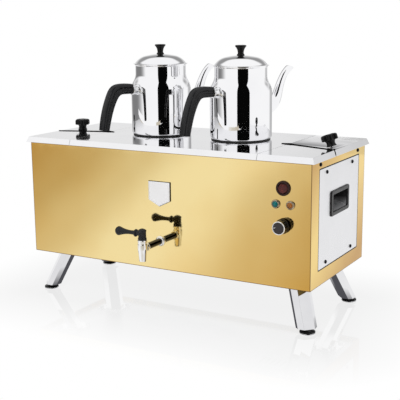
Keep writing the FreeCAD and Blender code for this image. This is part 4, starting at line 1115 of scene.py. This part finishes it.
@dataclass
class Dial:
    """Thermostat dial: fluted skirt, bright ring, dark face and a white pointer."""

    radius: float = 15.0
    back: float = 3.5
    front: float = 23.0
    flutes: int = 12

    def __post_init__(self) -> None:
        """Find the dial's seat on the front sheet."""
        self.seat = on_front(pivot("dial_turn")[0])

    def skirt(self) -> Form:
        """Body of the dial with its flutes, and the shaft behind it."""
        r, high = self.radius, self.front - 2.2
        steps = [(0, -15), (3, -15, 0.3), (3, self.back + 0.4), (4, self.back), (r, self.back, 0.4),
                 (r, self.back + 2.6, 0.6), (r - 1.0, self.back + 4.4, 0.5), (r - 1.1, self.back + 6),
                 (r - 1.4, high - 3), (r - 1.5, high - 1), (r - 2.4, high), (0, high)]
        form = turned(steps, 144)
        lobed(form, self.flutes, 0.9, self.back + 5.9, high - 2, 10.0, 2.5)
        return form

    def build(self) -> None:
        """Make the dial's pieces."""
        dial = Maker("dial", placement(self.seat, FORWARD))
        r, front = self.radius, self.front
        ring = turned([(r - 3.6, front - 3.0), (r - 1.5, front - 3.0, 0.4), (r - 1.3, front - 1.2, 0.5),
                       (r - 2.1, front, 0.4), (r - 3.0, front, 0.3), (r - 3.6, front - 0.8, 0.2)], 96,
                      closed=True)
        face = turned([(0, front - 2.6), (r - 3.5, front - 2.6), (r - 3.5, front - 0.9, 0.1),
                       (r - 6, front - 0.9), (r - 6.3, front - 1.1), (0, front - 1.1)], 96)
        mark = softened(slab(rectangle(-r + 4.2, -0.5, -r + 8.6, 0.5), front - 1.3, front - 0.65), 0.15)
        dial.piece("dial_skirt", self.skirt(), BLACK_PLASTIC, Slot.PLASTIC, "thermostat_knob")
        dial.piece("dial_ring", ring, CHROME, Slot.CHROME)
        dial.piece("dial_face", face, DIAL_FACE, Slot.PLASTIC)
        dial.piece("dial_mark", mark, WHITE_MARK, Slot.TERMINAL)


@dataclass
class SideFittings:
    """Screws of both sides, and the cable gland in the back sheet."""

    shank: float = 2.0
    head: float = 4.0
    socket: float = 1.35
    screw_y: float = 69.5
    screw_z: float = 91.0
    rim_y: float = 102.0
    rim_drop: float = 6.5
    gland_out: float = 28.0
    gland_bore: float = 4.5
    gland_flats: float = 22.0

    def screw(self) -> Form:
        """Button-head screw with a hexagon socket."""
        steps = [(0, -7), (self.shank - 0.4, -7), *ridged(self.shank, -6.6, -0.4, 0.8, 0.3),
                 (self.shank, 0), (self.head, 0, 0.1), (self.head, 0.8, 0.3),
                 *arc_steps((3.7, 1.3), (self.socket, 2.5), -0.25, 5), (self.socket, 1.2), (0, 1.0)]
        form = turned(steps, 36)
        for corner in form.verts:
            x, y, z = corner.co
            out = math.hypot(x, y)
            if z > 1.1 and 0 < out < self.socket + 0.01:
                turn = (math.atan2(y, x) + TURN) % (TURN / 6) - TURN / 12
                corner.co.xy *= math.cos(TURN / 12) / math.cos(turn)
        return form

    def screw_points(self) -> list[Vector]:
        """Seats of the six screws on the right side."""
        plate = middle_of("service_panel_right")
        low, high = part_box("right_panel")
        face = high.x / MM
        middle_y = (low.y + high.y) / (2 * MM)
        points = []
        for a in (-1, 1):
            points.append(Vector((face, middle_y + a * self.rim_y, high.z / MM - self.rim_drop)))
            points += [Vector((face, plate.y + a * self.screw_y, plate.z + b * self.screw_z))
                       for b in (-1, 1)]
        return points

    def screws(self) -> Form:
        """All twelve screws."""
        return joined([placed(self.screw(), Vector((way * at.x, at.y, at.z)), X_AXIS * way)
                       for at in self.screw_points() for way in (1, -1)])

    def gland(self) -> Form:
        """Gland body: hexagon, fluted clamping dome, thread and lock nut, all on one bore."""
        bore, end, flats = self.gland_bore, self.gland_out, self.gland_flats
        dome = turned([(bore, -13, 0.3), (7.2, -13), *ridged(8, -12.6, -1.4, 1.5, 0.6), (8, 0), (9.4, 5.6),
                       (9.5, 6.2, 0.3), (10.5, 7.2, 0.4), (10.5, 8), (10.5, 16.4), (10.3, 17.4),
                       (9.9, 20, 1.5), (8.4, 24.5, 1.5), (6.6, end, 0.5), (bore, end, 0.4)], 96,
                      closed=True)
        lobed(dome, 12, 0.8, 7.9, 17.0, 9.5, 2.0)
        return joined([dome, hexagon(flats, 0.0, 6.0, 0.7), hexagon(flats, -6.5, -1.5, 0.7)])

    def build(self) -> None:
        """Make the fittings."""
        Maker("casing").piece("panel_screws", self.screws(), BLACK_SCREW, Slot.SCREW, "side_screws")
        low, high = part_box("cable_gland")
        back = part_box("back_panel")[1].y
        seat = Vector(((low.x + high.x) / 2, back, (low.z + high.z) / 2)) / MM
        casing = Maker("casing", placement(seat, Y_AXIS))
        casing.piece("gland_body", self.gland(), BLACK_PLASTIC, Slot.PLASTIC, "cable_gland")
        bore = self.gland_bore - 0.4
        seal = turned([(bore, 20), (6.0, 20), (6.0, 27.0, 0.3), (bore, 27.4, 0.3)], 64, closed=True)
        casing.piece("gland_seal", seal, SILICONE, Slot.SILICONE)


@dataclass
class StarKnob:
    """Six-lobed hand knob that clamps a filling lid: soft lobes, waisted hub, cover disc and stud."""

    side: str
    radius: float = 17.5
    lobes: int = 6
    scallop: float = 4.0
    hub: float = 10.5
    low: float = 12.0
    top: float = 25.0
    stud: float = 3.0
    stud_long: tuple[float, float] = (9.5, 7.0)

    def head(self) -> Form:
        """Lobed head on its waisted hub."""
        r, low, top = self.radius, self.low, self.top
        waist = arc_steps((self.hub, 0.8), (self.hub - 0.4, low - 1.4), 1.6, 6)
        side = [(r - 1.6, low), (r - 0.4, low + 0.6), (r, low + 1.8), (r, low + 6), (r, top - 4.6),
                (r - 0.5, top - 2.6), (r - 2.0, top - 1.2), (r - 4.6, top - 0.5), (r - 7.6, top - 0.1)]
        steps = [(0, 0), (self.hub, 0, 0.3), (self.hub, 0.8), *waist, (self.hub + 0.6, low), *side,
                 (8.6, top), (8.2, top - 0.5), (0, top - 0.5)]
        form = turned(steps, 144)
        lobed(form, self.lobes, self.scallop, low - 0.1, top - 0.3, r - 6.2, 1.5)
        return form

    def build(self) -> None:
        """Make the knob's pieces."""
        at, axis = pivot("clamp_knob_turn_" + self.side)
        knob = Maker("clamp_knob_" + self.side, placement(at, axis), "_" + self.side)
        long = self.stud_long[self.side == "right"]
        stud = turned([(0, -long), (self.stud - 0.5, -long), *ridged(self.stud, 0.5 - long, -0.4, 1.0, 0.4),
                       (self.stud, 0.4), (0, 0.4)], 36)
        cover = turned([(0, self.top - 0.6), (8.1, self.top - 0.6), (8.1, self.top - 0.25, 0.15),
                        *arc_steps((7.4, self.top - 0.15), (0, self.top), -0.03, 5)], 64)
        knob.piece("knob_head", self.head(), BLACK_PLASTIC, Slot.PLASTIC, "star_knob")
        knob.piece("knob_stud", stud, CHROME, Slot.INNER)
        knob.piece("knob_cover", cover, TAP_PLASTIC, Slot.PLASTIC)


@dataclass
class Teapot:
    """One teapot: drawn shell with a swan-neck spout, moulded grip, domed lid and waisted knob."""

    side: str
    radius: float = 67.0
    wall: float = 1.2
    base: float = 2.0
    base_round: float = 5.0
    floor: float = 5.0
    neck: float = 56.5
    rim: float = 58.0
    shoulder_low: float = 104.0
    shoulder_high: float = 134.0
    rim_z: float = 157.0
    brim: float = 60.5
    brim_thick: float = 0.9
    lid_edge: tuple[float, float] = (56.2, 159.6)
    lid_crown: tuple[float, float] = (36.0, 174.0)
    lid_top: float = 178.5
    knob_top: float = 200.0
    ferrule_z: float = 103.5
    ferrule_end: float = 83.0
    handle_angle: float = 251.0
    spout_path: Steps = ((62, 60), (80, 62), (95, 67), (106, 77), (113, 92), (120, 111), (130, 129),
                         (141.8, 140.6), (152.6, 147.4))
    spout_radii: tuple[float, ...] = (18, 16.5, 14, 11.5, 9.4, 7.8, 6.6, 6.8, 7.6)
    spout_tilts: tuple[float, ...] = (8, 12, 35, 58, 70, 68, 58, 45, 66)
    grip_path: Steps = ((83, 106), (105, 107.5), (127, 107), (138.5, 87), (147, 67), (154, 44),
                        (158.5, 20.5))
    grip_sizes: Steps = ((22, 19), (24, 20), (30, 21), (24.5, 21), (23, 21), (22, 21), (20, 20))
    grip_tilts: tuple[float, ...] = (0, 0, -38, -66, -72, -78, -82)
    grip_power: float = 0.60
    grip_round: float = 2.6
    groove: float = 0.24
    groove_half: float = 0.10

    def __post_init__(self) -> None:
        """Find the pot's foot on the deck."""
        lid = middle_of("pot_lid_" + self.side)
        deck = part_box("pot_seals")[0].z / MM
        self.foot = Vector((lid.x, lid.y, deck))
        self.spout_turn = math.radians(self.handle_angle - 180)
        self.grip_turn = math.radians(self.handle_angle)

    def drawn_in(self, reach: float) -> list[tuple]:
        """Shoulder between the straight side and the neck, an S of two arcs; reach takes off a wall."""
        low = (self.radius - reach, self.shoulder_low)
        high = (self.neck - reach, self.shoulder_high)
        middle = ((low[0] + high[0]) / 2, (low[1] + high[1]) / 2)
        return [low, *arc_steps(low, middle, -0.9, 6), *arc_steps(middle, high, 0.9, 6)]

    def shell(self) -> Form:
        """Drawn shell with its wall, rounded foot and rolled rim."""
        side, neck, base = self.radius, self.neck - self.wall, self.base
        outer = [(0, base), (side, base, self.base_round), *self.drawn_in(0),
                 (self.neck, self.rim_z - 3.4, 0.8), (self.rim, self.rim_z - 2.2, 0.7),
                 (self.rim, self.rim_z, 0.5)]
        inner = [(neck, self.rim_z, 0.4), *reversed(self.drawn_in(self.wall)),
                 (side - self.wall, base + self.floor, self.base_round), (0, base + self.floor)]
        return turned(outer + inner, 180)

    def spout(self) -> Form:
        """Swan-neck tube whose root is seated on the shell's wall."""
        halves = [(radius, radius) for radius in self.spout_radii]
        form = swept(stations(self.spout_path, halves, self.spout_tilts), 32, caps=False)
        seat = self.radius - self.wall / 2
        root = self.spout_path[0][0] + 4
        for corner in form.verts:
            if corner.co.x < root:
                corner.co.x = math.sqrt(seat ** 2 - corner.co.y ** 2)
        return form

    def ferrule(self) -> Form:
        """Stepped ferrule that joins the grip to the shell."""
        reach = self.ferrule_end - self.radius + 2
        steps = ((0, 0), (12, 0), (12, 3.6, 0.8), (10.6, 5.2, 0.8), (10.1, 7, 0.6), (10.0, reach - 4),
                 (10.8, reach - 3, 0.6), (10.8, reach - 1, 0.6), (10.0, reach, 0.3), (0, reach))
        return placed(turned(steps, 72), Vector((self.radius - 2, 0, self.ferrule_z)), X_AXIS)

    def outline(self, point: Vector) -> Vector:
        """Rounded square with a shallow groove along its two flanks."""
        x = math.copysign(abs(point.x) ** self.grip_power, point.x)
        y = math.copysign(abs(point.y) ** self.grip_power, point.y)
        if abs(point.y) < self.groove_half:
            x *= 1 - self.groove
        return Vector((x * 0.99, y * 0.99, 0))

    def grip(self) -> Form:
        """Moulded grip with rounded ends."""
        halves = [(wide / 2, thick / 2) for thick, wide in self.grip_sizes]
        form = swept(stations(self.grip_path, halves, self.grip_tilts), 96, shape=self.outline)
        ends = [edge for face in form.faces if len(face.verts) > 4 for edge in face.edges]
        rounded(form, ends, self.grip_round, 3)
        return form

    def lid(self) -> Form:
        """Domed lid with a thin brim and a collar that drops into the neck."""
        under = self.rim_z + 0.05
        collar = self.neck - self.wall - 1
        bore = collar - self.wall
        crown, top = self.lid_crown, self.lid_top
        dome = [*arc_steps(self.lid_edge, crown, -2.05, 10), *arc_steps(crown, (0, top), -1.13, 12)]
        hollow = [*arc_steps((0, top - self.wall), (crown[0] - 0.5, crown[1] - self.wall), 1.13, 10),
                  *arc_steps((crown[0] - 0.5, crown[1] - self.wall), (bore, self.lid_edge[1] + 1.0), 1.8,
                             8)]
        steps = [(self.brim, under, 0.3), (self.brim, under + self.brim_thick, 0.3),
                 (self.lid_edge[0] + 1.2, 158.4, 0.5), self.lid_edge, *dome, (0, top - self.wall), *hollow,
                 (bore, under - 9), (collar, under - 9, 0.2), (collar, under)]
        return turned(steps, 160, closed=True)

    def knob(self) -> Form:
        """Waisted knob on its small foot."""
        foot, high = self.lid_top, self.knob_top
        steps = [(0, foot - 0.3), (8.5, foot - 0.3), (8.5, foot + 0.9, 0.4),
                 *arc_steps((8.2, foot + 1.3), (6.5, foot + 6), 0.8, 6),
                 *arc_steps((6.5, foot + 6), (11.7, high - 3.5), 1.2, 10), (12.3, high - 2.2, 0.5),
                 (11.8, high - 0.8, 0.5), (9, high, 0.6), (8, high - 0.1), (0, high - 0.4)]
        return turned(steps, 96)

    def build(self) -> None:
        """Make the pot's pieces and dress them."""
        body, end = "teapot_" + self.side, "_" + self.side
        pot = Maker(body, placement(self.foot), end)
        front = Maker(body, placement(self.foot, spin=self.spout_turn), end)
        back = Maker(body, placement(self.foot, spin=self.grip_turn), end)
        lid = Maker("teapot_lid_" + self.side, placement(self.foot), end)
        pot.piece("pot_shell", self.shell(), POT_STEEL, Slot.POLISHED, "pot_body", crease=24)
        front.piece("pot_spout", self.spout(), POT_STEEL, Slot.POLISHED, wall=self.wall, smooth=2)
        back.piece("pot_ferrule", self.ferrule(), CHROME, Slot.POLISHED)
        back.piece("pot_handle", self.grip(), GRIP_PLASTIC, Slot.PLASTIC, "pot_grip", smooth=2)
        lid.piece("pot_cover", self.lid(), POT_STEEL, Slot.POLISHED, "pot_lid")
        lid.piece("pot_cover_knob", self.knob(), BLACK_PLASTIC, Slot.PLASTIC, "pot_lid_knob")


@dataclass
class PotRings:
    """Silicone rings that the teapots stand on."""

    inner: float = 55.0
    outer: float = 64.0
    thick: float = 2.0

    def build(self) -> None:
        """Make both rings as one piece."""
        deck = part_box("pot_seals")[0].z / MM
        forms = []
        for side in SIDES:
            middle = middle_of("pot_lid_" + side)
            steps = [(self.inner, 0, 0.3), (self.outer, 0, 0.3), (self.outer, self.thick, 0.6),
                     (self.outer - 3, self.thick), (self.outer - 3.6, self.thick - 0.4),
                     (self.outer - 4.2, self.thick), (self.inner, self.thick, 0.5)]
            forms.append(placed(turned(steps, 128, closed=True), Vector((middle.x, middle.y, deck))))
        Maker("casing").piece("pot_rings", joined(forms), SILICONE, Slot.SILICONE, "pot_seals")


@dataclass
class Foot:
    """Levelling foot: glossy pad with a finger edge, and its threaded stem."""

    leg: str
    radius: float = 16.0
    high: float = 9.6
    stem: float = 4.0
    stem_top: float = 22.0

    def build(self) -> None:
        """Make the foot's pieces."""
        at = pivot("foot_turn_" + self.leg)[0]
        foot = Maker("foot_" + self.leg, placement(at), "_" + self.leg)
        r = self.radius
        pad = turned([(0, 0), (r - 1, 0, 0.4), (r - 0.5, 0.7, 0.2), (r - 0.5, 2.0, 0.2), (r, 2.2, 0.2),
                      (r, 3.6), (r - 0.3, 4.2, 0.4), (r - 1.5, 5.0, 0.5), (11.4, 5.4, 0.8), (8.6, 8.6, 1.2),
                      (7.4, self.high, 0.4), (0, self.high)], 120)
        lobed(pad, 30, 0.3, 2.3, 3.8, r - 0.4)
        stem = turned([(0, self.high - 1), (self.stem - 0.6, self.high - 1),
                       *ridged(self.stem, self.high - 0.6, self.stem_top - 0.4), (0, self.stem_top)], 48)
        foot.piece("foot_pad", pad, FOOT_RUBBER, Slot.PLASTIC, "foot")
        foot.piece("foot_stem", stem, CHROME, Slot.CHROME)
        rim = turned([(r - 1.2, 0.5), (r - 0.2, 0.5, 0.2), (r - 0.05, 1.3, 0.4), (r - 0.4, 2.0, 0.3),
                      (r - 1.2, 2.0)], 96, closed=True)
        foot.piece("foot_rim", rim, CHROME, Slot.CHROME)


@dataclass
class Studio:
    """White table, soft light, the white room beyond it with its cards, and the camera."""

    floor_x: float = 2.1
    floor_y: tuple[float, float] = (-1.32, 2.1)
    skirt_end: float = 0.6
    skirt_height: float = 0.127
    camera_at: Colour = (0.9824, -1.6594, 0.6268)
    azimuth: float = 29.958
    elevation: float = 11.875
    roll: float = -0.584
    lens: float = 80.40
    footprint: Colour = (0.33, 0.14, 0.0)
    footprint_middle: Colour = (0.0, 0.022, 0.0)
    mirror_share: float = 0.18
    mirror_reach: tuple[float, float] = (0.03, 0.25)
    mirror_blur: float = 0.04
    shadow_share: float = 0.04
    shadow_reach: float = 0.20
    # painted shadow that bright metal sees on the table under the urn, and how far it reaches
    painted_shadow_tone: Colour = (0.10, 0.10, 0.11)
    painted_shadow_reach: float = 0.09
    glare_at: Colour = (-0.271, -0.450, 0.0)
    glare_across: Colour = (0.923, -0.384, -1.1)
    glare_from: tuple[float, float] = (-0.42, -0.24)
    glare_tones: tuple[tuple[float, Colour], ...] = (
        (0.08, (1.0, 1.0, 1.0)),
        (0.30, (0.80, 0.77, 0.70)),
        (0.54, (0.66, 0.62, 0.52)),
        (0.90, (0.58, 0.52, 0.42)),
    )
    dark_card: Steps = ((0.590, -1.870), (1.760, -0.930))
    dark_card_z: tuple[float, float] = (0.0, 4.0)
    white_card: Steps = ((-0.80, -0.30), (-0.02, -0.30))
    white_card_z: tuple[float, float] = (0.313, 0.350)
    world_light: float = 0.25
    turning: tuple[float, float] = (-0.62, -0.36)
    back_levels: Steps = ((0.05, 1.0), (0.11, 0.83), (0.20, 0.80), (0.30, 0.60), (0.42, 0.34), (0.70, 0.30),
                          (0.80, 1.0))
    flags: tuple[tuple[Colour, float, float, float], ...] = (
        ((-1.0, 0.0, 0.0), 0.60, 0.98, 0.22),
        ((0.0, 1.0, 0.0), 0.89, 0.99, 0.50),
    )
    flag_fade: tuple[float, float] = (0.05, 0.22)
    aim: Colour = (0.0, 0.03, 0.25)
    lamps: tuple[tuple[str, Colour, float, float], ...] = (
        ("key_light", (0.5, -1.7, 1.7), 0.9, 36.0),
        ("fill_light", (2.0, -0.4, 1.5), 1.2, 12.0),
    )

    def glare(self, graph: Graph) -> Socket:
        """What bright metal sees of the table in front: white along a slanting band, dimmer beside it."""
        from_band = graph.vector("SUBTRACT", graph.place, self.glare_at)
        across = graph.vector("DOT_PRODUCT", from_band, self.glare_across)
        return graph.ramp(graph.combine("ABSOLUTE", across), self.glare_tones, "EASE")

    def table(self) -> bpy.types.Material:
        """White table for the camera with a faint mirror image; banded white for bright metal, with a
        painted shadow under the urn.
        """
        made = bpy.data.materials.new("studio_table")
        graph = Graph(made)
        graph.set(Base_Color=(0.90, 0.90, 0.90, 1), Roughness=0.5, Specular_IOR_Level=0.2)
        plain = graph.shader.outputs[0]
        mirror = graph.node("ShaderNodeBsdfGlossy")
        mirror.inputs["Roughness"].default_value = self.mirror_blur
        paths = graph.node("ShaderNodeLightPath").outputs
        offset = graph.vector("ABSOLUTE", graph.vector("SUBTRACT", graph.place, self.footprint_middle))
        away = graph.vector("LENGTH", graph.vector("MAXIMUM",
                                                   graph.vector("SUBTRACT", offset, self.footprint)))
        mirrored = graph.span(away, self.mirror_share, 0.0, *self.mirror_reach)
        shaded = graph.span(away, self.shadow_share, 0.0, 0.0, self.shadow_reach)
        seen = graph.mixed(mirrored, graph.glow(WHITE), mirror.outputs[0])
        seen = graph.mixed(paths["Is Camera Ray"], plain, graph.mixed(shaded, seen, plain))
        front = graph.span(graph.axis("Y"), 1.0, 0.0, *self.glare_from)
        # painted shadow: bright metal sees the table dark under the urn's footprint, white further out
        painted_shadow = graph.blend(graph.span(away, 0.0, 1.0, 0.0, self.painted_shadow_reach), self.painted_shadow_tone, (1, 1, 1))
        tone = graph.blend(front, painted_shadow, self.glare(graph))
        graph.show(graph.mixed(paths["Is Glossy Ray"], seen, graph.glow(tone)))
        return made

    def sheet(self, name: str, corners: Sequence[Colour], material: bpy.types.Material,
              shown: bool = False) -> None:
        """Flat stage sheet of four corners in metres; unless shown, only bright metal sees it."""
        form = bmesh.new()
        form.faces.new([form.verts.new(corner) for corner in corners])
        made = linked(name, form, material)
        made.visible_camera = made.visible_diffuse = made.visible_shadow = shown

    def upright(self, name: str, ends: Steps, heights: tuple[float, float],
                material: bpy.types.Material) -> None:
        """Standing sheet between two points of the plan, for bright metal only."""
        (start, end), (low, high) = ends, heights
        self.sheet(name, ((*start, low), (*end, low), (*end, high), (*start, high)), material)

    def card(self, name: str, ends: Steps, heights: tuple[float, float], tone: float) -> None:
        """Card of an even tone."""
        made = bpy.data.materials.new("studio_" + name)
        graph = Graph(made)
        graph.show(graph.glow((*grey(tone), 1)))
        self.upright(name, ends, heights, made)

    def floor(self) -> None:
        """Table top, and the low skirt across its front edge."""
        wide, (front, back) = self.floor_x, self.floor_y
        finish = self.table()
        top = ((-wide, front, 0), (wide, front, 0), (wide, back, 0), (-wide, back, 0))
        self.sheet("table_top", top, finish, shown=True)
        self.upright("table_skirt", ((-wide, front), (self.skirt_end, front)), (0, self.skirt_height),
                     finish)

    def room(self, graph: Graph) -> Socket:
        """What bright metal sees: white in front and overhead, greyer high at the sides and behind."""
        turn = math.radians(self.azimuth)
        height = graph.axis("Z")
        ahead = graph.vector("DOT_PRODUCT", graph.place, (math.sin(turn), -math.cos(turn), 0))
        back = graph.ramp(height, [(at, grey(level)) for at, level in self.back_levels])
        tone = graph.blend(graph.span(ahead, 0.0, 1.0, *self.turning, "SMOOTHSTEP"), back, (1, 1, 1))
        fade = graph.span(height, 0.0, 1.0, *self.flag_fade)
        strength: object = 1.0
        for toward, start, end, depth in self.flags:
            flank = graph.vector("DOT_PRODUCT", graph.place, toward)
            dark = graph.span(flank, 1.0, depth, start, end, "SMOOTHSTEP")
            strength = graph.combine("MULTIPLY", strength, graph.combine("MAXIMUM", dark, fade))
        return graph.glow(tone, strength, "ShaderNodeBackground")

    def world(self) -> None:
        """White surroundings for the camera, a soft room for the light."""
        world = bpy.data.worlds.new("studio")
        graph = Graph(world, "Generated")
        paths = graph.node("ShaderNodeLightPath").outputs
        soft = graph.fed(graph.tree.nodes["Background"], WHITE, self.world_light).outputs[0]
        clear = graph.combine("MAXIMUM", paths["Is Camera Ray"], paths["Is Transmission Ray"])
        seen = graph.mixed(clear, soft, graph.glow(WHITE, 1.0, "ShaderNodeBackground"))
        graph.show(graph.mixed(paths["Is Glossy Ray"], seen, self.room(graph)))
        bpy.context.scene.world = world

    def lamp(self, name: str, place: Colour, size: float, power: float) -> None:
        """Square soft box aimed at the urn."""
        data = bpy.data.lights.new(name, "AREA")
        data.size = size
        data.energy = power
        at = Vector(place)
        made = bpy.data.objects.new(name, data)
        made.location = at
        made.rotation_euler = (Vector(self.aim) - at).to_track_quat("-Z", "Y").to_euler()
        made.visible_glossy = False
        bpy.context.scene.collection.objects.link(made)

    def camera(self) -> None:
        """Camera at the photograph's angle."""
        azimuth, elevation = math.radians(self.azimuth), math.radians(self.elevation)
        level = math.cos(elevation)
        back = Vector((math.sin(azimuth) * level, -math.cos(azimuth) * level, math.sin(elevation)))
        right = Z_AXIS.cross(back).normalized()
        up = back.cross(right)
        turn = Matrix((right, up, back)).transposed().to_4x4()
        data = bpy.data.cameras.new("camera")
        data.sensor_width = 36.0
        data.lens = self.lens
        made = bpy.data.objects.new("camera", data)
        bpy.context.scene.collection.objects.link(made)
        spun = turn @ Matrix.Rotation(math.radians(self.roll), 4, "Z")
        made.matrix_world = Matrix.Translation(self.camera_at) @ spun
        bpy.context.scene.camera = made

    def build(self) -> None:
        """Set the stage."""
        self.camera()
        self.floor()
        self.card("tall_card", self.dark_card, self.dark_card_z, 0.002)
        self.card("white_card", self.white_card, self.white_card_z, 1.0)
        self.world()
        for lamp in self.lamps:
            self.lamp(*lamp)
        bpy.context.scene.view_settings.view_transform = "Standard"


def main() -> None:
    """Build the urn's looks round the frame."""
    logging.basicConfig(level=logging.INFO, format="%(name)s %(message)s")
    Studio().build()
    Casing().build()
    Badge().build()
    Tap().build()
    Switch().build()
    Lamp("green", GREEN_LENS, Slot.GREEN).build()
    Lamp("amber", AMBER_LENS, Slot.AMBER).build()
    Dial().build()
    SideFittings().build()
    PotRings().build()
    for side in SIDES:
        StarKnob(side).build()
        Teapot(side).build()
    for leg in LEGS:
        Foot(leg).build()


if __name__ == "__main__":
    main()
